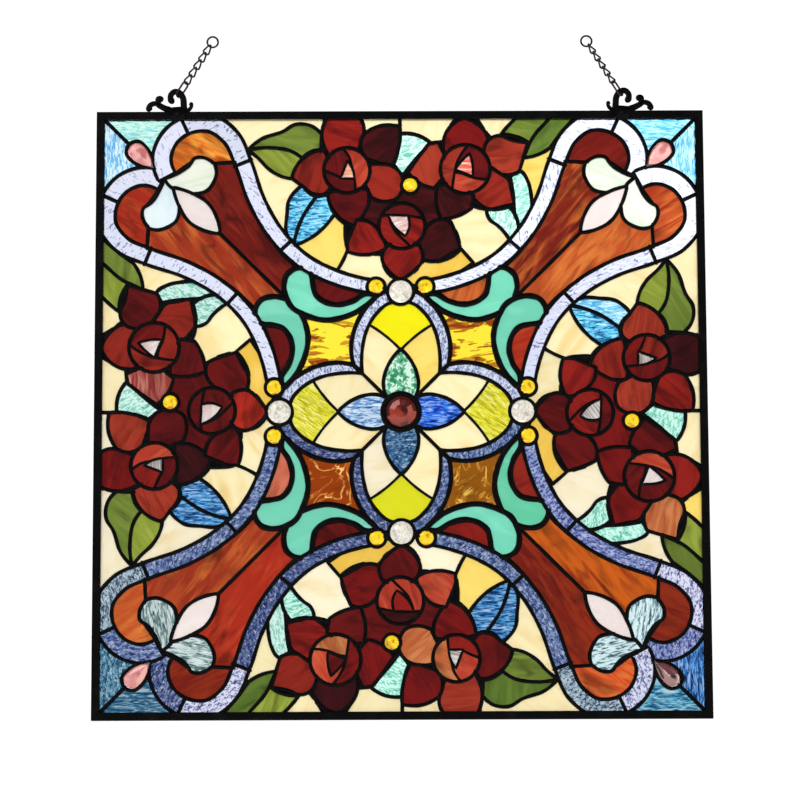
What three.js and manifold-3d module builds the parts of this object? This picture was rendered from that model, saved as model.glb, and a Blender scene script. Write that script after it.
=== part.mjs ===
// A leaded stained glass panel in a black metal channel, hung by two chains.
// Millimetres, +Z up. The panel stands in the XZ plane and its front looks along -Y.
// The origin is midway between the two rings that the chains end in.
import * as THREE from 'three';
import { mergeVertices } from 'three/addons/utils/BufferGeometryUtils.js';
import Module from 'manifold-3d';

const wasm = await Module();
wasm.setup();

// ---------------------------------------------------------------- driving dimensions
const PANEL = 610; // outside of the square frame
const half = PANEL / 2;
const FRAME_FACE = 8; // width of the channel seen from the front
const FRAME_WALL = 1.4;
const GLASS = 3; // thickness of the sheet glass
const LEAD_DEPTH = 6; // a solder line, front to back
const LEAD_FACE = 4.4; // width of a solder line
const GAP = 0.3; // left between neighbouring solids
const CHORD = 2; // how far a straight side may leave its curve
const LONG_CHORD = 3; // the same on the long scroll bands
const RING_SIDES = 8; // round a jewel or a rose

const JEWEL_RISE = 4; // of a small dome over the glass
const JEWEL_SHARE = 0.4; // rise of a large jewel, as a share of its radius
const STRIP = 2.4; // thickness of the strip inside a trio's solder
const MITRE = 2.4; // longest mitre, as a multiple of the offset
const SAME = 0.1; // flat faces closer than this are made one

const HOOK_X = 226; // middle of a hanger's hook, left and right of the panel's middle
const HANGER_DEPTH = 3; // front to back
const TAB_DEPTH = 1.5; // the hanger's tab on the front of the channel
const TAB_DROP = 9; // how far the tab comes down
const WIRE = 1.4; // thickness of the chain's wire
const CHAIN_LEAN = 32; // degrees inward from the vertical
const LONG_LINK = [18, 8.4]; // length and width, outside
const SHORT_LINK = [11.4, 6.4];
const SHORT_LINKS = 5;
const END_RING = [12.5, 12.5];
const HOOK_ARM = new THREE.Vector3(-4.2, 0, half + 20.2); // where the chain pulls on the hook's arm
const HOOK_REACH = 4.3; // from the arm's middle to the middle of the wire below it
const SCROLL_CHORD = 0.5;
const FIRST_TURN = 35; // degrees between the long link's plane and front to back
const LINK_TURN = 101; // degrees from one link's plane to the next
const WIRE_SIDES = 4;
const LINK_SIDES = 8; // corners of a link's round ends together
const CONTACT = 0.45; // how far touching links sink into each other

const sight = half - FRAME_FACE; // where the glass comes into view
const glassFront = -GLASS / 2;
const leadFront = -LEAD_DEPTH / 2;
const beadBack = glassFront - GAP;
const frameFront = leadFront - GAP - FRAME_WALL;

// ---------------------------------------------------------------- materials
const finish = (color, roughness = 0.15, metalness = 0) =>
  new THREE.MeshStandardMaterial({ color, roughness, metalness });
const blackMetal = finish(0x15151a, 0.45, 0.6);
const blackSolder = finish(0x101012, 0.5, 0.5);
const darkWire = finish(0x3a3230, 0.4, 0.8);
const palette = {
  cream: finish(0xf6ecc0),
  rose: finish(0x6a1515),
  sky: finish(0x8fd4f2),
  ember: finish(0x9c3a1a),
  teal: finish(0x70cdb6),
  band: finish(0xdfe6f6),
  amber: finish(0xf4bf30),
  lobe: finish(0xf2eccb),
  clear: finish(0xf4f4f4, 0.08),
  copper: finish(0xa34a3c, 0.1),
};

// ---------------------------------------------------------------- curves
// Points are [x, z]. A third number, 1, marks a corner of an outline.
const vector = ([x, z]) => new THREE.Vector2(x, z);

// Drops points that lie within a tolerance of the line between their neighbours.
function thin(points, tolerance) {
  const first = points[0];
  const last = points[points.length - 1];
  const along = last.clone().sub(first);
  const span = along.length();
  let worst = 0;
  let split = 0;
  points.forEach((point, i) => {
    const off = point.clone().sub(first);
    const distance = span > tolerance ? Math.abs(along.cross(off)) / span : off.length();
    if (distance > worst) [worst, split] = [distance, i];
  });
  if (worst < tolerance) return [first, last];
  const start = thin(points.slice(0, split + 1), tolerance);
  return [...start.slice(0, -1), ...thin(points.slice(split), tolerance)];
}

// A smooth line through points: one cubic a span, its slope at a point the mean of the
// two chords there, each weighted by the other's length, and a parabola at both ends.
function run(points, tolerance = CHORD) {
  const at = points.map(vector);
  if (at.length === 2) return at;
  const step = at.slice(1).map((point, i) => point.distanceTo(at[i]));
  const chord = at.slice(1).map((point, i) => point.clone().sub(at[i]).divideScalar(step[i]));
  const slope = at.map((_, i) => {
    if (i === 0 || i === step.length) return null;
    const [before, after] = [step[i - 1], step[i]];
    const sum = chord[i - 1].clone().multiplyScalar(after).addScaledVector(chord[i], before);
    return sum.divideScalar(before + after);
  });
  slope[0] = chord[0].clone().multiplyScalar(2).sub(slope[1]);
  slope[step.length] = chord[step.length - 1].clone().multiplyScalar(2).sub(slope[step.length - 1]);
  const dense = step.flatMap((length, i) => {
    const span = new THREE.CubicBezierCurve(
      at[i],
      at[i].clone().addScaledVector(slope[i], length / 3),
      at[i + 1].clone().addScaledVector(slope[i + 1], -length / 3),
      at[i + 1],
    );
    return span.getPoints(12).slice(0, -1);
  });
  return thin([...dense, at[at.length - 1]], tolerance);
}

// The smooth runs of a closed outline, from corner to corner.
function runsOf(outline) {
  const corners = outline.flatMap((point, i) => (point[2] ? [i] : []));
  return corners.map((start, i) => {
    const stop = i + 1 < corners.length ? corners[i + 1] : corners[0] + outline.length;
    const points = [];
    for (let k = start; k <= stop; k += 1) points.push(outline[k % outline.length]);
    return run(points);
  });
}

const joined = (runs) => runs.flatMap((points) => points.slice(0, -1));

const circle = (x, z, radius, sides = RING_SIDES) =>
  Array.from({ length: sides }, (_, i) => {
    const angle = ((i + 0.5) * 2 * Math.PI) / sides;
    return new THREE.Vector2(x + radius * Math.cos(angle), z + radius * Math.sin(angle));
  });

// Both edges of a ribbon that follows a line, its half width growing evenly.
function ribbonEdges(points, startHalf, endHalf) {
  const length = points.slice(1).map((point, i) => point.distanceTo(points[i]));
  const whole = length.reduce((a, b) => a + b, 0);
  let done = 0;
  const edges = [[], []];
  points.forEach((point, i) => {
    const before = points[Math.max(i - 1, 0)];
    const after = points[Math.min(i + 1, points.length - 1)];
    const along = after.clone().sub(before).normalize();
    const across = new THREE.Vector2(-along.y, along.x);
    const halfWidth = startHalf + ((endHalf - startHalf) * done) / whole;
    edges[0].push(point.clone().addScaledVector(across, halfWidth));
    edges[1].push(point.clone().addScaledVector(across, -halfWidth));
    done += length[i] || 0;
  });
  return edges;
}

// ---------------------------------------------------------------- solids
function solid(geometry) {
  geometry.deleteAttribute('normal');
  geometry.deleteAttribute('uv');
  const merged = mergeVertices(geometry, 1e-4);
  return new wasm.Manifold(
    new wasm.Mesh({
      numProp: 3,
      vertProperties: merged.attributes.position.array,
      triVerts: merged.index.array,
    }),
  );
}

// An outline in the panel's plane, made solid from y = front to y = back.
function slab(outline, front, back) {
  const shape = new THREE.Shape(outline);
  const geometry = new THREE.ExtrudeGeometry(shape, { depth: back - front, bevelEnabled: false });
  return solid(geometry.rotateX(Math.PI / 2).translate(0, back, 0));
}

// A closed outline moved outwards, its corners mitred up to a limit.
function offset(edge, distance) {
  const outward = Math.sign(THREE.ShapeUtils.area(edge)) * distance;
  return edge.map((point, i) => {
    const before = point.clone().sub(edge.at(i - 1)).normalize();
    const after = edge[(i + 1) % edge.length].clone().sub(point).normalize();
    const along = before.clone().add(after).normalize();
    const mitre = Math.min(1 / Math.max(along.dot(after), 0.01), MITRE);
    return new THREE.Vector2(along.y, -along.x).multiplyScalar(outward * mitre).add(point);
  });
}

// A bar of one width round a closed outline.
function loopBar(edge, width, front, back) {
  const inside = slab(offset(edge, -width / 2), front - 1, back + 1);
  return slab(offset(edge, width / 2), front, back).subtract(inside);
}

// A ribbon with straight cut ends, as one closed outline.
function ribbon(points, startHalf, endHalf = startHalf) {
  const [left, right] = ribbonEdges(points, startHalf, endHalf);
  return [...left, ...right.reverse()];
}

// A jewel: a disc whose front swells into a low dome, turned about the Y axis.
function jewelSolid([x, z, radius], rise, sides = RING_SIDES) {
  const edge = GLASS - 2 * GAP;
  const profile = [[0, 0], [radius, 0], [radius, edge], [radius * 0.62, edge + rise * 0.75], [0, edge + rise]].map(vector);
  const geometry = new THREE.LatheGeometry(profile, sides);
  return solid(geometry.rotateX(Math.PI).rotateY(Math.PI / sides).translate(x, edge / 2, z));
}

function geometryOf(manifold) {
  const mesh = manifold.getMesh();
  const geometry = new THREE.BufferGeometry();
  const position = new Float32Array(mesh.vertProperties);
  geometry.setAttribute('position', new THREE.BufferAttribute(position, mesh.numProp));
  geometry.setIndex(new THREE.BufferAttribute(new Uint32Array(mesh.triVerts), 1));
  return geometry;
}

const model = new THREE.Group();
const panel = new THREE.Group();
model.add(panel);

function addPiece(name, manifold, material) {
  const flat = geometryOf(manifold).toNonIndexed();
  flat.computeVertexNormals();
  const mesh = new THREE.Mesh(flat, material);
  mesh.name = name;
  panel.add(mesh);
}

// ---------------------------------------------------------------- the cartoon
// Everything is drawn for the top side of the panel, then turned by quarter turns.
// The rose cluster and its leaves, looking at the front:
const GROUND = [[0, 304, 1], [185, 304, 1], [157.5, 252, 1], [126, 182, 1], [98, 153, 1], [60, 134, 1], [0, 121, 1]];
const CLUSTER = [[-72, 304, 1], [-79, 282, 1], [-76, 266, 1], [-90, 263.5, 1], [-101, 254, 1], [-109, 237, 1],
  [-88, 221, 1], [-72, 221, 1], [-68, 205, 1], [-55, 190, 1], [-54, 170, 1], [-52.5, 161.5, 1], [-18, 159, 1],
  [-13, 142, 1], [0, 133, 1], [23, 153.5, 1], [60, 164, 1], [48, 195, 1], [72, 209, 1], [88, 204.8, 1],
  [114.5, 210, 1], [108, 238, 1], [119.8, 243, 1], [128.5, 273, 1], [91, 277.5, 1], [74, 304, 1]];
const HEARTS = [[-53.5, 245, 24.7], [65.5, 246, 26.2], [1.5, 188, 24.7]]; // a rose's centre and radius
const ROSE_JEWEL = [10, 229.5, 7]; // centre and radius

// One of the two mirrored halves of a corner, between the top middle and the diagonal:
const BAND_LINE = [[26, 126], [60, 134], [98, 153], [126, 182], [144.5, 215], [157.5, 252], [170, 279],
  [190, 293.5], [214, 292], [231, 280], [239.5, 258], [234, 238.5]];
const BAND_HALF = [6.8, 9.4]; // half width at the start and at the end
const TEAL = [[24, 117, 1], [40, 103], [55, 96], [76, 92.5], [97, 98.5], [108, 105], [116, 121], [113.3, 139],
  [100, 145.5, 1], [60, 134], [30, 122.5, 1]];
const ARM = [[118, 118, 1], [104, 146, 1], [126, 182], [157.5, 252], [190, 293, 1], [226, 285, 1], [240, 240, 1]];
// On the diagonal of a corner:
const DROP = [263.5, 263.5, 10];
const PANE = [[34, 106, 1], [106, 106, 1], [106, 34, 1], [46, 46, 1]];
const SKY = [[200, 303.4, 1], [303.4, 303.4, 1], [303.4, 200, 1], [238, 238, 1]];
// Right half of a lobe of the middle flower, from its tip to the diagonal:
const LOBE_EDGE = [[0, 124], [20, 119], [38, 100], [46.5, 82], [49.5, 63], [47, 47, 1]];
const BAND_EDGE = [[0, 111], [12, 109], [25, 98], [34, 82], [38.5, 62], [38, 38]];
const CENTRE_JEWEL = [0, 0, 16];
const CLEAR_JEWEL = [0, 121, 11];
const SIDE_JEWEL = [24.5, 126, 7];

// ---------------------------------------------------------------- turning and mirroring
const turn = (quarters) => ([right, up, last]) => {
  let [x, z] = [right, up];
  for (let i = 0; i < quarters; i += 1) [x, z] = [z, -x];
  return [x, z, last];
};
const mirror = ([x, z, corner]) => [-x, z, corner];
const swap = ([x, z, corner]) => [z, x, corner];
const SIDES = ['top', 'right', 'bottom', 'left'];
const CORNERS = ['top_right', 'bottom_right', 'bottom_left', 'top_left'];

// ---------------------------------------------------------------- the solder lines
// Shapes are laid like paper cut-outs, later ones over earlier ones. The lines round a
// shape go right through the panel. A bead on the front divides the pieces of one figure.
const deep = [leadFront, -leadFront];
const shallow = [leadFront, beadBack];
const everyDepth = [2 * leadFront, -2 * leadFront];
const square = (reach) => [[-reach, -reach], [-reach, reach], [reach, reach], [reach, -reach]].map(vector);
const rim = half - FRAME_WALL - GAP; // how far the net reaches into the channel
const view = slab(square(sight), ...everyDepth);
const regions = []; // what the glass is cut from, in the order it is laid
let lattice = slab(square(rim), ...deep).subtract(view);
let room = slab(square(rim), ...deep).subtract(slab(square(sight - GAP), ...everyDepth));

function drawLoop(edge, depth) {
  lattice = lattice.add(loopBar(edge, LEAD_FACE, ...depth).intersect(view));
  if (depth === deep) room = room.add(loopBar(edge, LEAD_FACE + 2 * GAP, ...deep));
}

function drawBead(points, within) {
  lattice = lattice.add(slab(ribbon(points, LEAD_FACE / 2), ...shallow).intersect(within));
}

function layShape(edge, depth) {
  const cutter = slab(edge, ...everyDepth).intersect(view);
  lattice = lattice.subtract(cutter);
  room = room.subtract(cutter);
  if (depth) drawLoop(edge, depth);
  return cutter;
}

function layRegion(name, material, edge, depth = deep, jewel = null) {
  regions.push({ name, material, edge, jewel });
  return layShape(edge, depth);
}

const edgeOf = (outline) => joined(runsOf(outline));
const ringOf = ([x, z, radius]) => circle(x, z, radius + LEAD_FACE / 2);

function layField(side) {
  const here = (points) => points.map(turn(side));
  for (const [hand, sign] of [['left', -1], ['right', 1]]) {
    const ground = GROUND.map(([x, z, corner]) => [sign * x, z, corner]);
    layRegion(`leaf_ground_${SIDES[side]}_${hand}`, palette.cream, edgeOf(here(ground)), null);
  }
  const jewel = turn(side)(ROSE_JEWEL);
  layRegion(`rose_cluster_${SIDES[side]}`, palette.rose, edgeOf(here(CLUSTER)), deep, jewel);
  for (const heart of here(HEARTS)) layShape(ringOf(heart), shallow);
}

function layCorner(corner) {
  const here = (points) => points.map(turn(corner));
  const place = CORNERS[corner];
  const drop = turn(corner)(DROP);
  layRegion(`corner_sky_${place}`, palette.sky, edgeOf(here(SKY)), null, drop);
  layShape(ringOf(drop), shallow);
  const lily = here([...ARM, ...ARM.map(swap).reverse().slice(1, -1)]);
  layRegion(`corner_lily_${place}`, palette.ember, edgeOf(lily), null);
  layRegion(`amber_pane_${place}`, palette.amber, edgeOf(here(PANE)), null);
  const halves = [['upper', (point) => point], ['lower', swap]];
  for (const [hand, flip] of halves) {
    layRegion(`teal_scroll_${place}_${hand}`, palette.teal, edgeOf(here(TEAL.map(flip))));
  }
  for (const [hand, flip] of halves) {
    const line = run(here(BAND_LINE.map(flip)), LONG_CHORD);
    layRegion(`scroll_band_${place}_${hand}`, palette.band, ribbon(line, ...BAND_HALF));
  }
}

function layLobe(side) {
  const here = (points) => points.map(turn(side));
  const whole = (line) => here([...line.map(mirror).reverse().slice(0, -1), ...line]);
  const lobe = here([[0, 0, 1], ...LOBE_EDGE.map(mirror).reverse().slice(0, -1), ...LOBE_EDGE]);
  const inside = layRegion(`lobe_${SIDES[side]}`, palette.lobe, edgeOf(lobe));
  drawBead(run(whole(BAND_EDGE)), inside);
}

const everySide = [0, 1, 2, 3];
everySide.forEach(layField);
everySide.forEach(layCorner);
everySide.forEach(layLobe);

const jewels = [{ name: 'centre_jewel', at: [CENTRE_JEWEL], material: palette.copper }];
for (const side of everySide) {
  const at = [mirror(SIDE_JEWEL), CLEAR_JEWEL, SIDE_JEWEL].map(turn(side));
  jewels.push({ name: `jewel_trio_${SIDES[side]}`, at, material: palette.clear });
}
for (const jewel of jewels.flatMap(({ at }) => at)) {
  layRegion(null, null, ringOf(jewel));
}

// ---------------------------------------------------------------- the glass
const boxOf = (points) => new THREE.Box2().setFromPoints(points);
const tidy = (manifold) => manifold.asOriginal().simplify(SAME);
const largest = (manifold) => manifold.decompose().sort((a, b) => b.volume() - a.volume())[0];

regions.forEach(({ name, material, edge, jewel }, i) => {
  if (!name) return;
  let glass = slab(edge, glassFront, -glassFront).intersect(view);
  for (const later of regions.slice(i + 1)) {
    const near = boxOf(edge).intersectsBox(boxOf(later.edge));
    if (near) glass = glass.subtract(slab(later.edge, ...everyDepth));
  }
  glass = largest(glass.subtract(room));
  if (jewel) glass = glass.add(jewelSolid(jewel, JEWEL_RISE));
  addPiece(name, tidy(glass), material);
});

// A trio's three jewels hang together by a strip of glass hidden inside the solder.
for (const { name, at, material } of jewels) {
  const ends = [at[0], at.at(-1)].map(vector);
  const makeStrip = (width) => slab(ribbon(ends, width / 2), -width / 2, width / 2);
  let set = at.length > 1 ? makeStrip(STRIP) : null;
  if (set) lattice = lattice.subtract(makeStrip(STRIP + 2 * GAP));
  for (const [x, z, radius] of at) {
    const jewel = jewelSolid([x, z, radius - GAP], radius * JEWEL_SHARE);
    set = set ? set.add(jewel) : jewel;
  }
  addPiece(name, tidy(set), material);
}
addPiece('solder_lattice', tidy(largest(lattice)), blackSolder);

// ---------------------------------------------------------------- the metal channel
// One bar: a U profile carried along the top edge, its ends cut to a mitre.
function frameBar(quarters) {
  const front = -frameFront;
  const inner = front - FRAME_WALL;
  const profile = [[-front, 0], [front, 0], [front, FRAME_FACE], [inner, FRAME_FACE], [inner, FRAME_WALL],
    [-inner, FRAME_WALL], [-inner, FRAME_FACE], [-front, FRAME_FACE]].map(vector);
  const geometry = new THREE.ExtrudeGeometry(new THREE.Shape(profile), { depth: 1, bevelEnabled: false });
  const position = geometry.getAttribute('position');
  for (let i = 0; i < position.count; i += 1) {
    const [across, inward, along] = [position.getX(i), position.getY(i), position.getZ(i)];
    const reach = half - inward - GAP / 2;
    position.setXYZ(i, along > 0.5 ? -reach : reach, across, half - inward);
  }
  return solid(geometry.rotateY((quarters * Math.PI) / 2));
}
SIDES.forEach((side, i) => addPiece(`frame_${side}`, frameBar(i), blackMetal));

// ---------------------------------------------------------------- the scroll hangers
// Drawn for the right one: x outward from the middle of its hook, z up from the channel.
const SCROLLS = [
  { line: [[-8.6, 1.5], [-8.2, 8], [-7.4, 15], [-3.5, 20.6], [1, 21.6], [5, 17.6], [4.6, 13], [0.8, 11.4]], from: 2.5, to: 2 },
  { line: [[6, 3], [13, 5.5], [18, 9.5], [16.6, 13.6], [13, 11.5]], from: 2.8, to: 1.9 },
  { line: [[16, 7], [21, 9.4], [25.6, 7.4], [26.2, 1]], from: 2, to: 2.4 },
  { line: [[-9, 2.2], [-14, 3.4], [-16, 7.5], [-14.2, 10.4]], from: 2, to: 1.5 },
];
const FOOT = [[-13, 0.3], [11, 0.3], [8, 5], [-5, 6], [-11, 3]];
const TAB = [[-10, -TAB_DROP], [6, -TAB_DROP], [6, 3], [-10, 3]];

function hanger(sign) {
  const place = ([x, z]) => new THREE.Vector2(sign * (HOOK_X + x), half + z);
  const depth = [-HANGER_DEPTH / 2, HANGER_DEPTH / 2];
  const tabBack = frameFront - GAP;
  let whole = slab(FOOT.map(place), tabBack - TAB_DEPTH, depth[1]);
  whole = whole.add(slab(TAB.map(place), tabBack - TAB_DEPTH, tabBack));
  for (const { line, from, to } of SCROLLS) {
    const points = run(line, SCROLL_CHORD).map(({ x, y }) => place([x, y]));
    whole = whole.add(slab(ribbon(points, from, to), ...depth));
  }
  return tidy(whole);
}

// ---------------------------------------------------------------- the chains
// A link: a ring of wire, pulled out along X, with its hole along Z.
function linkGeometry([length, width]) {
  const geometry = new THREE.TorusGeometry((width - WIRE) / 2, WIRE / 2, WIRE_SIDES, LINK_SIDES);
  const position = geometry.getAttribute('position');
  for (let i = 0; i < position.count; i += 1) {
    const x = position.getX(i);
    position.setX(i, x + (Math.sign(x) * (length - width)) / 2);
  }
  return geometry;
}

function chain(sign) {
  const lean = THREE.MathUtils.degToRad(CHAIN_LEAN);
  const along = new THREE.Vector3(-sign * Math.sin(lean), 0, Math.cos(lean));
  const sideways = new THREE.Vector3(Math.cos(lean), 0, sign * Math.sin(lean));
  const links = [LONG_LINK, ...Array(SHORT_LINKS).fill(SHORT_LINK), END_RING];
  let start = HOOK_ARM.clone().setX(sign * (HOOK_X + HOOK_ARM.x)).addScaledVector(along, -HOOK_REACH);
  let whole = null;
  let centre = null;
  links.forEach((link, i) => {
    const reach = link[0] - WIRE;
    centre = start.clone().addScaledVector(along, reach / 2);
    const angle = i < links.length - 1 ? FIRST_TURN + i * LINK_TURN : 90;
    const turned = THREE.MathUtils.degToRad(angle);
    const across = sideways.clone().multiplyScalar(Math.sin(turned));
    across.y = Math.cos(turned);
    const axis = along.clone().cross(across);
    const frame = new THREE.Matrix4().makeBasis(along, across, axis).setPosition(centre);
    const ring = solid(linkGeometry(link).applyMatrix4(frame));
    whole = whole ? whole.add(ring) : ring;
    start = start.clone().addScaledVector(along, reach - WIRE + CONTACT);
  });
  return { whole, ringCentre: centre };
}

let ringHeight = 0;
for (const [hand, sign] of [['left', -1], ['right', 1]]) {
  const { whole, ringCentre } = chain(sign);
  addPiece(`hanger_${hand}`, hanger(sign), blackMetal);
  addPiece(`chain_${hand}`, whole, darkWire);
  ringHeight = ringCentre.z;
}
panel.position.z = -ringHeight; // the origin lies between the two end rings

export default model;
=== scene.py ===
import bpy
import numpy as np
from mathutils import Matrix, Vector
from mathutils.geometry import delaunay_2d_cdt


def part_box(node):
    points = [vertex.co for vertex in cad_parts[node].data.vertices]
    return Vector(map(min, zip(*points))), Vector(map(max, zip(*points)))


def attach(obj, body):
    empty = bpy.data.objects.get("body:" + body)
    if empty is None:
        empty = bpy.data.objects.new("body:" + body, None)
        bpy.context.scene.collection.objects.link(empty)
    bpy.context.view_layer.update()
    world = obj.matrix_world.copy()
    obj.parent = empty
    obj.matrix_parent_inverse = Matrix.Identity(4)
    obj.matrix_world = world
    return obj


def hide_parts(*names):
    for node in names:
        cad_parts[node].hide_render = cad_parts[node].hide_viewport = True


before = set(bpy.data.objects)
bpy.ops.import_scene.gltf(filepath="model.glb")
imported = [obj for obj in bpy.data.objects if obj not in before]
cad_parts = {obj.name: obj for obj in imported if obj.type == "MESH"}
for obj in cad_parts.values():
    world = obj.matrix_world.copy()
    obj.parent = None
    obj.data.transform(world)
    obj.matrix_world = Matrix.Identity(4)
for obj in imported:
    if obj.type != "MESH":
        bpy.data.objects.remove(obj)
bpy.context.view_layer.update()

# ---------------------------------------------------------------- driving dimensions
MM = 0.001
NET_LOW, NET_HIGH = (np.array(corner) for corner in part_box("solder_lattice"))
MIDDLE = (NET_LOW[2] + NET_HIGH[2]) / 2  # height of the panel's middle, in metres
RIM = (NET_HIGH[0] - NET_LOW[0]) / 2 / MM  # how far the glass reaches into the channel
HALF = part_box("frame_right")[1][0] / MM  # half of the frame's outside
FRAME_FACE = 8.0  # width of the channel, seen from the front
SIGHT = HALF - FRAME_FACE  # from the middle to the channel's inner edge
GLASS = 3.0  # thickness of the sheet glass
INSET = 0.35  # from the middle of a solder line to the edge of the glass
HEAVY, WIDE, MEDIUM, FINE = 2.9, 2.3, 1.9, 1.4  # half widths of solder lines
BEAD_RISE = 1.25  # of a solder line over the glass

# ---------------------------------------------------------------- the cartoon
# Outlines are [x, z] in mm from the panel's middle, looking at the front. A third
# number, 1, marks a corner. All is drawn for the top side and the top right corner,
# then turned by quarter turns. Later shapes lie on earlier ones.
FIELD = {
    "ground_left": [(0, 304, 1), (-185, 304, 1), (-157.5, 252, 1), (-126, 182, 1), (-98, 153, 1),
                    (-60, 134, 1), (0, 121, 1)],
    "ground_right": [(0, 304, 1), (0, 121, 1), (60, 134, 1), (98, 153, 1), (126, 182, 1),
                     (157.5, 252, 1), (185, 304, 1)],
    "ochre": [(2, 132, 1), (25, 156, 1), (50, 162), (61, 164, 1), (73, 150, 1), (54, 138), (20, 124, 1)],
    "green_left": [(-153, 266, 1), (-141, 276.5), (-117, 285.5), (-106, 292), (-90, 291),
                   (-78.8, 282, 1), (-80, 258, 1), (-109, 236.5, 1), (-119, 238.8), (-132, 246.5),
                   (-143, 258)],
    "green_right": [(101, 280.5, 1), (110, 291.5), (124, 304, 1), (182, 304, 1), (164, 285),
                    (151, 267.5, 1), (137, 259.8), (124.5, 257.3, 1), (118, 268, 1)],
    "aqua_high": [(110, 242, 1), (121.5, 243.5), (128.5, 233), (131.4, 220), (131.6, 203), (126, 189),
                  (117, 180, 1), (114.8, 200), (113.8, 217)],
    "aqua_low": [(86.5, 203, 1), (97, 208.3), (107.5, 208.3), (113.5, 202), (118.3, 189),
                 (117, 175, 1), (110, 172.5, 1), (97, 188.5), (90.5, 193.2)],
    "blue_leaf": [(-107, 168, 1), (-114.3, 182), (-113.6, 200), (-111.5, 215), (-106, 223),
                  (-98, 230, 1), (-85, 219), (-72, 222, 1), (-70.5, 211), (-66, 200.5, 1),
                  (-73.5, 190), (-83, 180.8)],
    "cluster": [(-72, 304, 1), (-78.5, 279), (-76, 266, 1), (-90, 263.5), (-100, 255), (-109, 237, 1),
                (-99, 229.5), (-86, 220.5), (-72, 221, 1), (-68, 205), (-55, 190, 1), (-54, 170),
                (-52.5, 161.5, 1), (-27, 159.6), (-18, 159, 1), (-12, 140), (0, 133, 1), (15, 143),
                (23, 153.5, 1), (35, 151.7), (60, 164, 1), (56, 180), (48, 195, 1), (58, 198.5),
                (72, 209, 1), (88, 204.8), (114.5, 210, 1), (112, 222), (108, 238, 1), (119.8, 243, 1),
                (124, 258), (128.5, 273, 1), (100, 280.3), (91, 277.5, 1), (82, 290), (74, 304, 1)],
    "pocket_left": [(-52, 304, 1), (-38, 283.5, 1), (-22, 287), (0, 289.5, 1), (0, 304, 1)],
    "pocket_right": [(0, 304, 1), (0, 282.5, 1), (15, 281.7), (31, 273, 1), (44, 274, 1), (51, 290),
                     (62, 304, 1)],
    "aqua_top": [(0, 282.5, 1), (15, 281.7), (31, 273, 1), (19, 260), (2, 239, 1), (-6.5, 251, 1),
                 (-2, 265)],
    "a_top": [(-71, 304, 1), (-78.5, 279), (-70, 258, 1), (-44, 262, 1), (-38, 278), (-36, 287),
              (-46, 304, 1)],
    "a_high": [(0, 290, 1), (-26, 288.5), (-37, 281), (-40, 270), (-34, 257, 1), (-20, 252),
               (-9, 249.3, 1), (-3, 262)],
    "a_left": [(-109, 237, 1), (-99.5, 255.5), (-88, 263.5), (-77, 266, 1), (-66, 248, 1),
               (-70, 228, 1), (-77, 220.5), (-86, 220.5), (-99, 229.5)],
    "a_low": [(-73, 222, 1), (-52, 228, 1), (-32, 225, 1), (-31.5, 212), (-38, 198), (-46, 188, 1),
              (-58, 194), (-70, 209)],
    "a_right": [(-33, 250, 1), (-19, 251.5), (-8, 249.5), (1.5, 240), (2.5, 227), (-3.5, 216),
                (-15, 213), (-29, 217, 1), (-36, 232, 1)],
    "b_top": [(46, 258, 1), (44.6, 279), (52, 291), (64, 298), (77, 293), (87.5, 281), (88, 262, 1)],
    "b_left": [(38.5, 273.5, 1), (29, 272, 1), (17, 256), (8, 243, 1), (18, 232.7), (34, 226.5, 1),
               (46, 240, 1), (44, 262, 1)],
    "b_right": [(84, 262, 1), (91, 277.5), (100, 280.3), (112, 276), (128.5, 273, 1), (124.3, 258),
                (119.8, 243.2, 1), (110, 239.8), (100, 241), (86, 250, 1)],
    "b_low": [(88, 250, 1), (101, 241), (108.3, 236), (112.3, 221), (114.5, 210, 1), (101, 206.8),
              (88.5, 204.8), (80, 209.5), (70, 221, 1)],
    "b_dark": [(37.5, 229.5, 1), (56, 232, 1), (74, 219, 1), (71.5, 205.5, 1), (55, 197),
               (41, 194.5, 1), (36.8, 207)],
    "c_right": [(17, 168, 1), (24, 184), (33, 192.2), (42, 194.5), (50.5, 192, 1), (56.3, 178),
                (60, 164.5, 1), (48, 157.8), (35, 151.7), (21, 154, 1)],
    "c_left": [(-43.5, 194.5, 1), (-30, 191.3), (-20, 181), (-14, 165, 1), (-27, 159.6),
               (-52.5, 161.5, 1), (-53.3, 170), (-49, 182)],
    "c_bottom": [(-15, 166, 1), (-18.5, 155), (-10, 140), (0, 133, 1), (14, 142.5), (22, 153),
                 (19, 168, 1), (1, 176, 1)],
}
ROSE_SHAPES = ("a_", "b_", "c_", "cluster", "pocket_", "aqua_top")  # how their names begin
HEARTS = {  # the round middle of each rose: x, z and radius
    "heart_a": (-53.5, 245, 23.2), "heart_b": (65.5, 246, 25.0), "heart_c": (1.5, 188, 23.2),
}
SPARKS = {  # the pale centre of each rose
    "spark_a": [(-53, 255, 1), (-60, 236.5, 1), (-46, 236.5, 1), (-48, 247)],
    "spark_b": [(70, 262, 1), (60, 252), (55, 245.5, 1), (73, 238.3, 1), (73, 250)],
    "spark_c": [(-12, 199.3, 1), (7.5, 198.5, 1), (9.3, 190), (5, 178, 1), (-6, 187)],
}
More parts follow.
